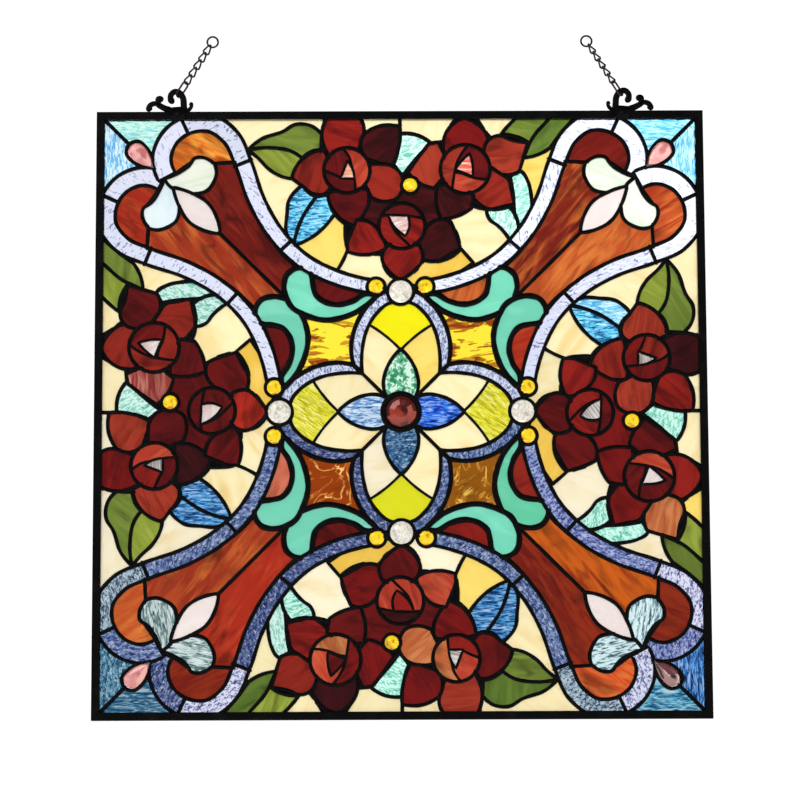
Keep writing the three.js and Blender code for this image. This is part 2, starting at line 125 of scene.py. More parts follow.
FIELD_CUTS = [  # a line that divides one shape, and that shape
    ("heart_a", [(-62, 271), (-51, 258), (-48.5, 248), (-46, 237), (-45, 219)]),
    ("heart_a", [(-80, 246), (-68, 241.5), (-59, 237)]),
    ("heart_b", [(72, 274), (62, 262), (57, 252), (54.5, 241), (52, 220)]),
    ("heart_b", [(54.4, 242.6), (62, 241.6), (72, 237.5), (95, 236)]),
    ("heart_c", [(-26, 197), (-12, 199), (8, 198.2), (28, 194)]),
    ("heart_c", [(-11, 196), (-6, 184), (4, 173), (16, 162)]),
    ("green_left", [(-153, 266), (-128, 268.3), (-110, 265), (-92, 252), (-80, 240)]),
    ("green_right", [(120, 250), (126, 262), (133, 277), (150, 297), (158, 306)]),
    ("blue_leaf", [(-107, 167), (-103, 185), (-96, 201), (-88, 213), (-78, 226)]),
    ("ground_left", [(-52.5, 165), (-56, 156), (-66, 139)]),
]
BAND_LINE = [(26, 126), (60, 134), (98, 153), (126, 182), (144.5, 215), (157.5, 252), (170, 279),
             (190, 293.5), (214, 292), (231, 280), (239.5, 258), (234, 238.5)]
BAND_HALF = (6.8, 9.4)  # half widths at its two ends
BAND_POINTS = 130  # along each of its sides
BAND_CUTS = (0.295, 0.577, 0.816)  # where it is cut across, as shares of its length
BAND_REACH = 14  # of a cut to both sides of the band's line
BAND_PARTS = ((0.7, "band_bend"), (0.9, "band_end"))  # shares that lie in pieces with own sheets
BAND_BIT = 0.005  # a small share, to find the direction of the line
HALF_CORNER = {
    "sky": [(190, 304, 1), (304, 304, 1), (238, 238, 1)],
    "arm": [(104, 146, 1), (125, 168), (150, 212), (162, 254, 1), (195, 254, 1), (232, 232, 1),
            (118, 118, 1)],
    "curl": [(160, 254, 1), (186, 252.5, 1), (204, 257.5, 1), (214, 250.5), (232, 238, 1), (238, 262),
             (222, 288), (190, 293), (168, 278)],
    "comma": [(186.5, 252, 1), (191, 255.5), (198, 258.5), (206, 258), (212.5, 249.5), (222, 243),
              (237, 237, 1), (230, 228), (217, 222.3), (206, 221.5), (194, 224.5), (187.5, 233),
              (184.5, 243)],
}
ALMOND = [(180.5, 180.5, 1), (184, 197), (193, 212), (208, 221.5), (228, 228, 1), (221.5, 208),
          (212, 193), (197, 184)]
PANE = [(34, 106, 1), (106, 106, 1), (106, 34, 1), (46, 46, 1)]
HALFMOON = [(30, 121, 1), (55, 125.5), (70, 131.5), (83, 138, 1), (92, 130), (88, 112), (62, 104),
            (44, 110)]
TEAL = [(24, 117, 1), (40, 103), (55, 96), (76, 92.5), (97, 98.5), (108, 105), (114.7, 117),
        (116.5, 127), (113.3, 139), (100, 145.5), (89.5, 139), (87.6, 128), (85, 118.5), (77, 111.5),
        (63, 108), (48, 111.5), (34, 119)]
DROP = [(245, 245, 1), (249, 258), (255, 269), (264, 275.5), (272.5, 272.5), (275.5, 264), (269, 255),
        (258, 249)]
LOBE_OUT = [(0, 124), (20, 119), (38, 100), (46.5, 82), (49.5, 63), (47, 47, 1)]
LOBE_IN = [(0, 111), (12, 109), (25, 98), (34, 82), (38.5, 62), (38.5, 38.5, 1)]
CAP = [(0, 62, 1), (13, 74.5), (34, 89, 1), (50, 130, 1), (-50, 130, 1), (-34, 89, 1), (-13, 74.5)]
PETAL = [(0, 63, 1), (9, 53), (16, 38), (17.5, 28), (14, 14, 1), (-14, 14, 1), (-17.5, 28), (-16, 38),
         (-9, 53)]
LOBE_CUT = [(0, 50), (0, 76)]  # divides the cream between the petal and the cap
JEWELS = {  # x, z and radius
    "centre": (0, 0, 18.0), "clear": (0, 121, 13.0), "amber": (24.5, 126, 9.0),
    "rose_jewel": (10, 229.5, 8.6),
}

SIDES = ("top", "right", "bottom", "left")
CORNERS = ("top_right", "bottom_right", "bottom_left", "top_left")
HANDS = ("upper", "lower")

# ---------------------------------------------------------------- the sheets of glass
# For each surface, its sheets: the colour of the sheet and that of its streaks, as sRGB 0-255.
SHEETS = {
    "streaky": {
        "soot": ((54, 9, 14), (80, 13, 18)), "oxblood": ((88, 10, 14), (110, 16, 16)),
        "maroon": ((112, 16, 16), (84, 10, 12)), "garnet": ((130, 18, 17), (100, 12, 14)),
        "ruby": ((150, 30, 22), (116, 16, 14)), "brick": ((152, 40, 26), (118, 26, 19)),
        "rust": ((170, 58, 38), (140, 38, 25)), "coral": ((184, 58, 40), (214, 100, 66)),
        "flame": ((184, 44, 27), (152, 30, 20)), "tan": ((190, 98, 54), (220, 142, 88)),
        "blush": ((146, 44, 42), (226, 168, 148)), "umber": ((124, 30, 18), (204, 106, 44)),
        "cocoa": ((110, 20, 13), (140, 38, 24)), "walnut": ((150, 46, 18), (116, 24, 14)),
        "toast": ((206, 98, 20), (136, 44, 14)), "ember": ((190, 80, 34), (222, 128, 58)),
        "clay": ((172, 42, 22), (192, 66, 32)), "russet": ((164, 52, 26), (216, 112, 50)),
        "copper": ((212, 98, 24), (250, 176, 70)), "tangerine": ((212, 78, 32), (236, 130, 62)),
        "salmon": ((204, 102, 72), (224, 134, 104)), "olive": ((106, 126, 48), (132, 152, 62)),
        "moss": ((88, 116, 42), (112, 136, 54)), "lime": ((138, 154, 54), (164, 178, 74)),
    },
    "striped": {
        "peach": ((232, 150, 112), (252, 222, 200)), "candy": ((226, 84, 62), (252, 232, 222)),
        "shell": ((242, 236, 234), (206, 150, 140)), "smoke": ((150, 138, 134), (240, 238, 236)),
    },
    "milky": {
        "cream": ((252, 240, 196), (242, 216, 150)), "butter": ((250, 226, 122), (244, 204, 92)),
        "milk": ((252, 243, 216), (244, 228, 184)), "straw": ((236, 196, 78), (246, 216, 118)),
        "jade": ((122, 216, 188), (142, 228, 204)), "sea": ((108, 212, 172), (128, 222, 190)),
        "rose_white": ((238, 226, 222), (246, 238, 236)), "snow": ((240, 243, 230), (210, 226, 204)),
        "opal": ((230, 241, 244), (212, 228, 233)), "lemon": ((250, 242, 16), (244, 230, 8)),
        "chartreuse": ((222, 222, 30), (228, 228, 50)),
    },
    "rippled": {
        "ice": ((206, 236, 240), (52, 76, 90)), "mist": ((184, 206, 204), (62, 86, 90)),
        "skyfire": ((104, 212, 254), (10, 66, 118)), "lagoon": ((62, 142, 202), (8, 40, 92)),
        "azure": ((146, 226, 248), (56, 164, 230)), "bright_blue": ((212, 247, 254), (60, 150, 232)),
        "glacier": ((196, 246, 232), (118, 204, 212)), "brook": ((164, 226, 250), (74, 160, 220)),
        "ocean": ((62, 134, 208), (10, 36, 84)), "reef": ((80, 166, 194), (18, 62, 112)),
        "deep": ((44, 104, 136), (14, 50, 86)), "royal": ((48, 120, 234), (8, 34, 124)),
        "denim": ((186, 214, 240), (50, 92, 156)), "citron": ((230, 225, 44), (178, 172, 28)),
    },
    "hammered": {
        "aqua": ((198, 245, 230), (84, 176, 150)), "foam": ((210, 244, 234), (106, 182, 162)),
    },
    "flecked": {
        "frost": ((222, 226, 246), (74, 80, 120)), "hail": ((212, 216, 240), (62, 64, 104)),
        "whisper": ((226, 229, 247), (150, 156, 186)),
    },
    "seedy": {
        "violet": ((120, 136, 192), (36, 44, 100)), "slate": ((98, 120, 168), (28, 42, 88)),
        "navy": ((68, 86, 138), (22, 32, 74)), "heather": ((206, 209, 234), (60, 64, 112)),
        "hoar": ((204, 212, 236), (92, 104, 150)), "pewter": ((146, 172, 188), (34, 44, 64)),
        "pool": ((72, 130, 158), (16, 46, 74)), "night": ((48, 98, 142), (14, 42, 80)),
    },
    "mottled": {
        "mottled_green": ((46, 142, 94), (220, 250, 232)),
    },
    "dashed": {
        "honey": ((255, 232, 62), (150, 66, 12)),
    },
    "swirled": {
        "toffee": ((150, 88, 14), (246, 196, 92)), "treacle": ((148, 58, 8), (252, 204, 116)),
    },
}
SURFACE_OF = {name: surface for surface, sheets in SHEETS.items() for name in sheets}
COLOURS_OF = {name: colours for sheets in SHEETS.values() for name, colours in sheets.items()}
# Each shape's sheets: for the top, right, bottom and left side, or one for all four.
SIDE_SHEETS = {
    "ground_left": "cream", "ground_right": "cream",
    "ochre": "straw", "green_left": "olive olive moss olive",
    "green_right": "moss olive moss olive", "aqua_high": "aqua aqua foam foam",
    "aqua_low": "foam aqua aqua foam", "blue_leaf": "skyfire skyfire lagoon lagoon",
    "cluster": "soot soot oxblood oxblood", "pocket_left": "cream cream cream milk",
    "pocket_right": "cream", "aqua_top": "foam aqua aqua foam",
    "a_top": "ruby soot rust garnet", "a_high": "soot ruby garnet rust",
    "a_left": "brick rust maroon rust", "a_low": "oxblood brick garnet soot",
    "a_right": "brick rust tan oxblood", "b_top": "garnet ruby soot brick",
    "b_left": "rust oxblood garnet blush", "b_right": "rust tan brick oxblood",
    "b_low": "brick garnet ruby brick", "b_dark": "soot garnet maroon oxblood",
    "c_left": "ruby ruby coral maroon", "c_right": "soot maroon garnet maroon",
    "c_bottom": "ruby oxblood oxblood flame", "heart_a": "oxblood garnet ruby oxblood",
    "heart_b": "oxblood oxblood coral garnet", "heart_c": "soot maroon soot soot",
    "spark_a": "peach smoke smoke smoke", "spark_b": "candy shell garnet shell",
    # the lobe band is one pale blue glass, deeper blue in the bottom lobe: painted shade of a backlight
    # that is darker below
    "spark_c": "shell smoke ruby shell", "lobe_band": "hoar hoar navy hoar",
    "lobe_cream": "cream", "cap": "lemon citron chartreuse citron",
    "petal": "mottled_green royal night denim",
}
# Single pieces, named by a point inside them: the shape, the point, and the sheets.
SPOTS = [
    ("heart_a", (-64, 255), "maroon brick coral ruby"),
    ("heart_a", (-37, 246), "coral maroon tan coral"),
    ("heart_a", (-60, 228), "oxblood garnet ruby oxblood"),
    ("heart_b", (46, 252), "rust coral garnet brick"),
    ("heart_b", (82, 252), "oxblood oxblood coral garnet"),
    ("heart_b", (67, 228), "coral maroon tan brick"),
    ("heart_c", (2, 207), "oxblood maroon soot oxblood"),
    ("heart_c", (-16, 184), "brick rust garnet flame"),
    ("heart_c", (17, 186), "ruby ruby coral maroon"),
    ("cluster", (-28, 205), "soot soot oxblood oxblood"),
    ("cluster", (26, 214), "soot garnet maroon oxblood"),
    ("green_left", (-120, 252), "lime lime olive lime"),
    ("green_right", (122, 290), "olive lime lime lime"),
    ("ground_left", (-83, 182), "butter cream butter cream"),
    ("ground_left", (-40, 148), "cream cream milk cream"),
    ("ground_left", (-138, 225), "cream cream cream milk"),
    ("ground_right", (82, 180), "cream milk milk cream"),
    ("ground_right", (96, 295), "cream butter cream cream"),
    ("ground_right", (136, 240), "butter milk cream cream"),
    ("blue_leaf", (-105, 205), "skyfire brook lagoon lagoon"),
    ("lobe_cream", (20, 60), "butter cream milk cream"),
    # the lower halves of the side lobes' bands are slate or navy, the upper halves hoar: painted shade of
    # a backlight that is darker below
    ("lobe_band", (42, 84), "hoar slate navy hoar"), ("lobe_band", (-42, 84), "hoar hoar slate navy"),
]
# Corner shapes: for each corner, clockwise from the top right, its upper and lower half.
CORNER_SHEETS = {
    "sky": "azure brook ocean reef deep pool bright_blue glacier",
    "arm": "umber ember toast walnut clay russet russet cocoa",
    "curl": "cocoa russet walnut tangerine walnut ember clay copper",
    "comma": "snow snow ice ice mist mist opal snow",
    "halfmoon": "ember clay brick ruby maroon salmon maroon maroon",
    "teal": "jade jade sea jade jade jade jade jade",
    # band, band_bend and band_end are one textured pale blue glass. Their pieces are paler in the top
    # corners and deeper blue in the bottom ones: painted shade of a backlight that is darker below.
    "band": "frost hail violet slate navy slate frost frost",
    "band_bend": "whisper whisper heather pewter heather pewter frost frost",
    "band_end": "whisper whisper violet heather navy slate whisper whisper",
    "almond": "rose_white rose_white rose_white rose_white",
    "pane": "honey toffee treacle honey",
}

# ---------------------------------------------------------------- curves
STEP = 2.4  # between two points of a drawn curve
MEASURE_STEP = 1.0  # between two points of a line that is measured
FEWEST = 24  # points of a circle


def smooth(points, step=STEP):
    """A line through points: a cubic in each span, in Hermite form. The slope at a point is
    the mean of the two chords there, each weighted by the other's length, and at the ends
    twice the chord less the next slope."""
    p = np.array([point[:2] for point in points], float)
    if len(p) == 2:
        count = max(2, int(np.ceil(np.linalg.norm(p[1] - p[0]) / (2 * step))) + 1)
        return p[0] + np.linspace(0, 1, count)[:, None] * (p[1] - p[0])
    length = np.linalg.norm(np.diff(p, axis=0), axis=1)
    chord = np.diff(p, axis=0) / length[:, None]
    slope = np.empty_like(p)
    weighted = chord[:-1] * length[1:, None] + chord[1:] * length[:-1, None]
    slope[1:-1] = weighted / (length[1:] + length[:-1])[:, None]
    slope[0] = 2 * chord[0] - slope[1]
    slope[-1] = 2 * chord[-1] - slope[-2]
    spans = []
    for i, size in enumerate(length):
        count = max(2, int(np.ceil(size / step)))
        t = (np.arange(count) / count)[:, None]
        start = (2 * t**3 - 3 * t**2 + 1) * p[i] + (t**3 - 2 * t**2 + t) * size * slope[i]
        end = (3 * t**2 - 2 * t**3) * p[i + 1] + (t**3 - t**2) * size * slope[i + 1]
        spans.append(start + end)
    return np.concatenate(spans + [p[-1:]])


def outline(points):
    """A closed outline as smooth runs from corner to corner, without its last point."""
    corners = [i for i, point in enumerate(points) if len(point) > 2]
    runs = []
    for start, stop in zip(corners, corners[1:] + [corners[0] + len(points)]):
        runs.append(smooth([points[k % len(points)] for k in range(start, stop + 1)])[:-1])
    return np.concatenate(runs)


def around(count):
    """Even angles round a full turn."""
    return np.linspace(0, 2 * np.pi, count, endpoint=False)


def circle(x, z, radius):
    """Points at even angles, about a step apart."""
    angle = around(max(FEWEST, int(2 * np.pi * radius / STEP)))
    return np.c_[x + radius * np.cos(angle), z + radius * np.sin(angle)]


def distances(line):
    """How far along a line each of its points lies."""
    return np.r_[0, np.cumsum(np.linalg.norm(np.diff(line, axis=0), axis=1))]


def along_line(points, start, stop, count):
    """Even steps between two shares of a line's length, and the sideways unit vectors there."""
    line = smooth(points, MEASURE_STEP)
    travelled = distances(line)
    wanted = np.linspace(start, stop, count) * travelled[-1]
    here = np.c_[np.interp(wanted, travelled, line[:, 0]), np.interp(wanted, travelled, line[:, 1])]
    forward = np.gradient(here, axis=0)
    forward /= np.linalg.norm(forward, axis=1)[:, None]
    return here, np.c_[-forward[:, 1], forward[:, 0]]


def turned(points, quarters):
    """Turned clockwise by quarter turns, as seen from the front."""
    p = np.array(points, float)
    for _ in range(quarters):
        p = np.c_[p[:, 1], -p[:, 0]]
    return p


def mirrored(points):
    """The other half of an even outline: mirrored about its middle line, x = 0."""
    return [(-point[0],) + tuple(point[1:]) for point in points][::-1]


def swapped(points):
    """The other half of a corner: mirrored about its diagonal."""
    return [(point[1], point[0]) + tuple(point[2:]) for point in points][::-1]


# ---------------------------------------------------------------- laying out the cartoon
class Shape:
    """One cut-out of the cartoon: a closed outline, the CAD node it belongs to, and the
    sheet of glass it is cut from. One with an owner only shows inside that shape."""

    def __init__(self, name, points, node, sheet, width=MEDIUM, owner=None, jewel=False):
        self.name = name
        self.points = points
        self.node = node
        self.sheet = sheet
        self.width = width
        self.owner = owner
        self.jewel = jewel


shapes = []
cuts = []  # (owner's number, points, half width of the solder)
spots = []  # (shape's number, point, sheet)


def lay(name, points, node, sheet, **more):
    shapes.append(Shape(name, points, node, sheet, **more))
    return len(shapes) - 1


def side_sheet(name, side):
    sheets = SIDE_SHEETS[name].split()
    return sheets[side % len(sheets)]


def lay_spots(laid, side):
    """The single pieces of the shapes that were laid on a side."""
    for name, point, sheets in SPOTS:
        if name in laid:
            spots.append((laid[name], turned([point], side)[0], sheets.split()[side]))


def lay_field(side):
    place = SIDES[side]
    rose = f"rose_cluster_{place}"
    laid = {}
    for name, points in FIELD.items():
        hand = "left" if np.mean([point[0] for point in points]) < 0 else "right"
        node = rose if name.startswith(ROSE_SHAPES) else f"leaf_ground_{place}_{hand}"
        width = WIDE if name == "cluster" else MEDIUM
        laid[name] = lay(name, turned(outline(points), side), node, side_sheet(name, side), width=width)
    for name, heart in HEARTS.items():
        laid[name] = lay(name, turned(circle(*heart), side), rose, side_sheet(name, side))
    for name, points in SPARKS.items():
        lay(name, turned(outline(points), side), rose, side_sheet(name, side), width=FINE)
    for owner, points in FIELD_CUTS:
        width = FINE if owner in HEARTS else MEDIUM
        cuts.append((laid[owner], turned(smooth(points), side), width))
    lay_spots(laid, side)


def lay_corner(corner):
    place = CORNERS[corner]
    sheets = {name: words.split() for name, words in CORNER_SHEETS.items()}

    def both_hands(name, points, node, width=MEDIUM):
        for hand, flip in enumerate((list, swapped)):
            sheet = sheets[name][2 * corner + hand]
            lay(name, turned(outline(flip(points)), corner), node.format(HANDS[hand]), sheet, width=width)

    both_hands("sky", HALF_CORNER["sky"], f"corner_sky_{place}")
    lay("drop", turned(outline(DROP), corner), f"corner_sky_{place}", "rose_white", jewel=True)
    for name in ("arm", "curl", "comma"):
        both_hands(name, HALF_CORNER[name], f"corner_lily_{place}")
    lay("almond", turned(outline(ALMOND), corner), f"corner_lily_{place}", sheets["almond"][corner])
    lay("pane", turned(outline(PANE), corner), f"amber_pane_{place}", sheets["pane"][corner])
    both_hands("halfmoon", HALFMOON, f"teal_scroll_{place}_{{}}")
    both_hands("teal", TEAL, f"teal_scroll_{place}_{{}}", HEAVY)
    for hand, line in enumerate((BAND_LINE, [(z, x) for x, z in BAND_LINE])):
        own = 2 * corner + hand
        here, sideways = along_line(line, 0, 1, BAND_POINTS)
        half = np.linspace(*BAND_HALF, BAND_POINTS)[:, None]
        points = np.concatenate([here + sideways * half, (here - sideways * half)[::-1]])
        node = f"scroll_band_{place}_{HANDS[hand]}"
        number = lay("band", turned(points, corner), node, sheets["band"][own])
        for share, part in BAND_PARTS:
            middle, _ = along_line(line, share, share + 2 * BAND_BIT, 3)
            spots.append((number, turned(middle, corner)[0], sheets[part][own]))
        for share in BAND_CUTS:
            middle, sideways = along_line(line, share - BAND_BIT, share + BAND_BIT, 3)
            across = np.array([middle[1] + reach * sideways[1] for reach in (-BAND_REACH, BAND_REACH)])
            cuts.append((number, turned(smooth(across), corner), MEDIUM))


def lay_lobe(side):
    node = f"lobe_{SIDES[side]}"
    laid = {}
    for name, half, width in (("lobe_band", LOBE_OUT, WIDE), ("lobe_cream", LOBE_IN, MEDIUM)):
        points = outline([(0, 0, 1)] + mirrored(half)[:-1] + half)
        laid[name] = lay(name, turned(points, side), node, side_sheet(name, side), width=width)
    cream = laid["lobe_cream"]
    for name, points, width in (("cap", CAP, FINE), ("petal", PETAL, MEDIUM)):
        lay(name, turned(outline(points), side), node, side_sheet(name, side), width=width, owner=cream)
    cuts.append((cream, turned(smooth(LOBE_CUT), side), FINE))
    lay_spots(laid, side)


def lay_jewels():
    lay("centre", circle(*JEWELS["centre"]), "centre_jewel", "ruby", width=HEAVY, jewel=True)
    x, z, radius = JEWELS["amber"]
    trio = (("amber", (-x, z, radius)), ("clear", JEWELS["clear"]), ("amber", (x, z, radius)))
    for side, place in enumerate(SIDES):
        for name, jewel in trio:
            lay(name, turned(circle(*jewel), side), f"jewel_trio_{place}", "milk", jewel=True)
        gem = turned(circle(*JEWELS["rose_jewel"]), side)
        lay("rose_jewel", gem, f"rose_cluster_{place}", "milk", jewel=True)


for lay_quarter in (lay_field, lay_corner, lay_lobe):
    for quarter in range(4):
        lay_quarter(quarter)
lay_jewels()


def inside(points, polygon):
    """Which points lie inside a polygon: a ray to the right crosses its edges an odd
    number of times. Only the points in the polygon's box are tried."""
    low, high = polygon.min(axis=0), polygon.max(axis=0)
    near = np.flatnonzero(np.all((points > low) & (points < high), axis=1))
    result = np.zeros(len(points), bool)
    x, z = points[near, 0][:, None], points[near, 1][:, None]
    a, b = polygon, np.roll(polygon, -1, axis=0)
    spans = (a[:, 1] > z) != (b[:, 1] > z)
    with np.errstate(divide="ignore", invalid="ignore"):
        crossing = a[:, 0] + (z - a[:, 1]) * (b[:, 0] - a[:, 0]) / (b[:, 1] - a[:, 1])
    result[near] = np.sum(spans & (x < crossing), axis=1) % 2 == 1
    return result


def top_shape(points):
    """The number of the shape that lies on top at each point, or -1."""
    label = np.full(len(points), -1)
    for number, shape in enumerate(shapes):
        covered = inside(points, shape.points)
        if shape.owner is not None:
            covered &= label == shape.owner
        label[covered] = number
    return label


# ---------------------------------------------------------------- the pieces of glass
TOUCH = 1e-3  # points closer than this are one point of the mesh
NARROW = 1.15  # a piece with less area than this for each mm of its outline is only solder


def edges_of(faces):
    """The three edges of each triangle, first all the first ones."""
    return np.concatenate([faces[:, [0, 1]], faces[:, [1, 2]], faces[:, [2, 0]]])


def double_area(faces, corner):
    """Twice each triangle's area, below zero where it runs clockwise."""
    a, b, c = (corner[faces[:, k]] for k in range(3))
    return (b[:, 0] - a[:, 0]) * (c[:, 1] - a[:, 1]) - (c[:, 0] - a[:, 0]) * (b[:, 1] - a[:, 1])


def cut_glass():
    """The cartoon's lines divide a square into triangles (a constrained Delaunay mesh), each
    triangle takes the top shape at its middle, and triangles that touch with no line of
    solder between them form one piece. Returns points, triangles, their middles, areas,
    shapes and pieces."""
    frame_edge = np.array([(-RIM, -RIM), (RIM, -RIM), (RIM, RIM), (-RIM, RIM)])
    lines = [(frame_edge, True, -1)]
    lines += [(shape.points, True, -1) for shape in shapes]
    lines += [(points, False, owner) for owner, points, _ in cuts]
    points, edges, owners = [], [], []
    count = 0
    for line, closed, owner in lines:
        index = np.arange(count, count + len(line))
        following = np.roll(index, -1) if closed else index[1:]
        pairs = np.c_[index[: len(following)], following]
        points.append(line)
        edges.append(pairs)
        owners.append(np.full(len(pairs), owner))
        count += len(line)
    owners = np.concatenate(owners)
    points, edges = np.concatenate(points).tolist(), np.concatenate(edges).tolist()
    result = delaunay_2d_cdt(points, edges, [], 0, TOUCH, True)
    corner = np.array(result[0])
    triangle = np.array(result[2])
    middle = corner[triangle].mean(axis=1)
    keep = np.all(np.abs(middle) < RIM, axis=1)
    triangle, middle = triangle[keep], middle[keep]
    area = 0.5 * np.abs(double_area(triangle, corner))
    label = top_shape(middle)
    # pairs of triangles that share an edge, and whose cuts that edge is part of
    pair = np.sort(edges_of(triangle), axis=1)
    owner_of = np.tile(np.arange(len(triangle)), 3)
    order = np.lexsort((pair[:, 1], pair[:, 0]))
    same = np.all(pair[order][1:] == pair[order][:-1], axis=1)
    first, second = owner_of[order][:-1][same], owner_of[order][1:][same]
    shared = pair[order][:-1][same]
    cut_edges = set()
    for edge, sources in zip(result[1], result[4]):
        for source in sources:
            if owners[source] >= 0:
                cut_edges.add((min(edge), max(edge), owners[source]))
    above = label[first].tolist()
    is_cut = np.array([(a, b, n) in cut_edges for (a, b), n in zip(shared.tolist(), above)])
    joined = (label[first] == label[second]) & ~is_cut
    first, second = first[joined], second[joined]
    piece = np.arange(len(triangle))
    while True:  # each triangle takes the lowest number among its neighbours, till all agree
        before = piece.copy()
        low = np.minimum(piece[first], piece[second])
        np.minimum.at(piece, first, low)
        np.minimum.at(piece, second, low)
        piece = piece[piece]
        if np.array_equal(before, piece):
            break
    piece = np.unique(piece, return_inverse=True)[1]
    return corner, triangle, middle, area, label, piece


corner_xz, triangles, middles, areas, labels, pieces = cut_glass()
piece_count = pieces.max() + 1
piece_area = np.bincount(pieces, areas)
piece_label = np.zeros(piece_count, int)
piece_label[pieces] = labels
piece_sheet = [shapes[n].sheet if n >= 0 else None for n in piece_label]
for number, point, sheet in spots:
    own = np.flatnonzero(labels == number)
    nearest = own[np.argmin(np.linalg.norm(middles[own] - point, axis=1))]
    piece_sheet[pieces[nearest]] = sheet


def edge_length():
    """The length of each piece's outline: its edges that no other triangle of it shares."""
    pair = edges_of(triangles)
    owner = np.tile(pieces, 3)
    key = np.c_[owner, np.sort(pair, axis=1)]
    _, index, times = np.unique(key, axis=0, return_index=True, return_counts=True)
    single = index[times == 1]
    length = np.linalg.norm(corner_xz[pair[single, 0]] - corner_xz[pair[single, 1]], axis=1)
    return np.bincount(owner[single], length, minlength=piece_count)


is_narrow = piece_area / np.maximum(edge_length(), 1e-6) < NARROW
is_jewel = np.array([n >= 0 and shapes[n].jewel for n in piece_label])
is_glass = (piece_label >= 0) & ~is_jewel & ~is_narrow
is_fill = ~is_jewel & ~is_glass
print("pieces of glass", int(is_glass.sum()), "filled with solder", int(is_fill.sum()))
is_clockwise = double_area(triangles, corner_xz) < 0
triangles[is_clockwise] = triangles[is_clockwise][:, ::-1]


# ---------------------------------------------------------------- meshes
def at_depth(place, depth):
    """Points [x, z] of the panel's plane and their depths y, as [x, y, z]."""
    return np.stack([place[..., 0], np.broadcast_to(depth, place.shape[:-1]), place[..., 1]], axis=-1)


def in_frame(points):
    """From mm about the panel's middle to metres in the row frame."""
    return np.asarray(points, float) * MM + np.array([0, 0, MIDDLE])


def make_object(name, points, faces, material, replaced, flat=True, attributes=None):
    """One finished piece. Points are in mm about the panel's middle. Faces are lists of
    arrays of corners, each array with one number of corners a face. Attributes with four
    values a point are colours."""
    mesh = bpy.data.meshes.new(name)
    loops = np.concatenate([np.asarray(face).ravel() for face in faces]).astype(np.int32)
    sizes = np.concatenate([np.full(len(face), np.shape(face)[1]) for face in faces]).astype(np.int32)
    mesh.vertices.add(len(points))
    mesh.vertices.foreach_set("co", in_frame(points).astype(np.float32).ravel())
    mesh.loops.add(len(loops))
    mesh.loops.foreach_set("vertex_index", loops)
    mesh.polygons.add(len(sizes))
    mesh.polygons.foreach_set("loop_start", np.r_[0, np.cumsum(sizes)[:-1]].astype(np.int32))
    mesh.polygons.foreach_set("use_smooth", np.full(len(sizes), not flat))
    for title, values in (attributes or {}).items():
        kind, entry = ("FLOAT_COLOR", "color") if values.shape[1] == 4 else ("FLOAT_VECTOR", "vector")
        layer = mesh.attributes.new(title, kind, "POINT")
        layer.data.foreach_set(entry, values.astype(np.float32).ravel())
    mesh.update(calc_edges=True)
    mesh.validate()
    thing = bpy.data.objects.new(name, mesh)
    bpy.context.collection.objects.link(thing)
    mesh.materials.append(material)
    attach(thing, "root")
    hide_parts(*replaced)
    return thing


def strip_faces(rows, columns, first, closed_rows):
    """The four-cornered faces of a grid of points whose rows are closed, row by row."""
    row = np.arange(rows if closed_rows else rows - 1)
    i, j = np.meshgrid(row, np.arange(columns), indexing="ij")
    low, high = i * columns, (i + 1) % rows * columns
    next_j = (j + 1) % columns
    return first + np.stack([low + j, low + next_j, high + next_j, high + j], axis=-1).reshape(-1, 4)


class Heap:
    """Collects several grids of points as one mesh."""

    def __init__(self):
        self.points, self.faces, self.count = [], {}, 0

    def add_faces(self, faces):
        faces = np.asarray(faces)
        self.faces.setdefault(faces.shape[1], []).append(faces)

    def add_grid(self, grid, closed_rows=False):
        """A grid whose rows are closed sections: a tube, with its ends capped or joined."""
        rows, columns = grid.shape[:2]
        self.add_faces(strip_faces(rows, columns, self.count, closed_rows))
        if not closed_rows:
            self.add_faces([self.count + np.arange(columns)[::-1]])
            self.add_faces([self.count + (rows - 1) * columns + np.arange(columns)])
        self.points.append(grid.reshape(-1, 3))
        self.count += rows * columns

    def build(self, name, material, slot, replaced, flat=False):
        faces = [np.concatenate(group) for group in self.faces.values()]
        return make_object(name, np.concatenate(self.points), faces, material, replaced, flat)


# ---------------------------------------------------------------- sheet glass
SHARPEST = 0.8  # the least |n1 + n2|^2, which keeps a sharp outline's point short
SHADES = (0.94, 1.06)  # how much darker or lighter a piece is than its sheet
WIDEST_SHIFT = 400.0  # of the pattern between two pieces
# Which way the streaks of a shape run, in radians from the level. Others lie by chance.
LEAN = {"arm": np.pi / 4 + 0.12, "curl": 0.5, "teal": 0.3, "pane": 0.1, "petal": 0, "blue_leaf": 0,
        "cap": -0.6}
JOINT = 234.0  # the commas of a corner meet this far from the panel's middle, both ways


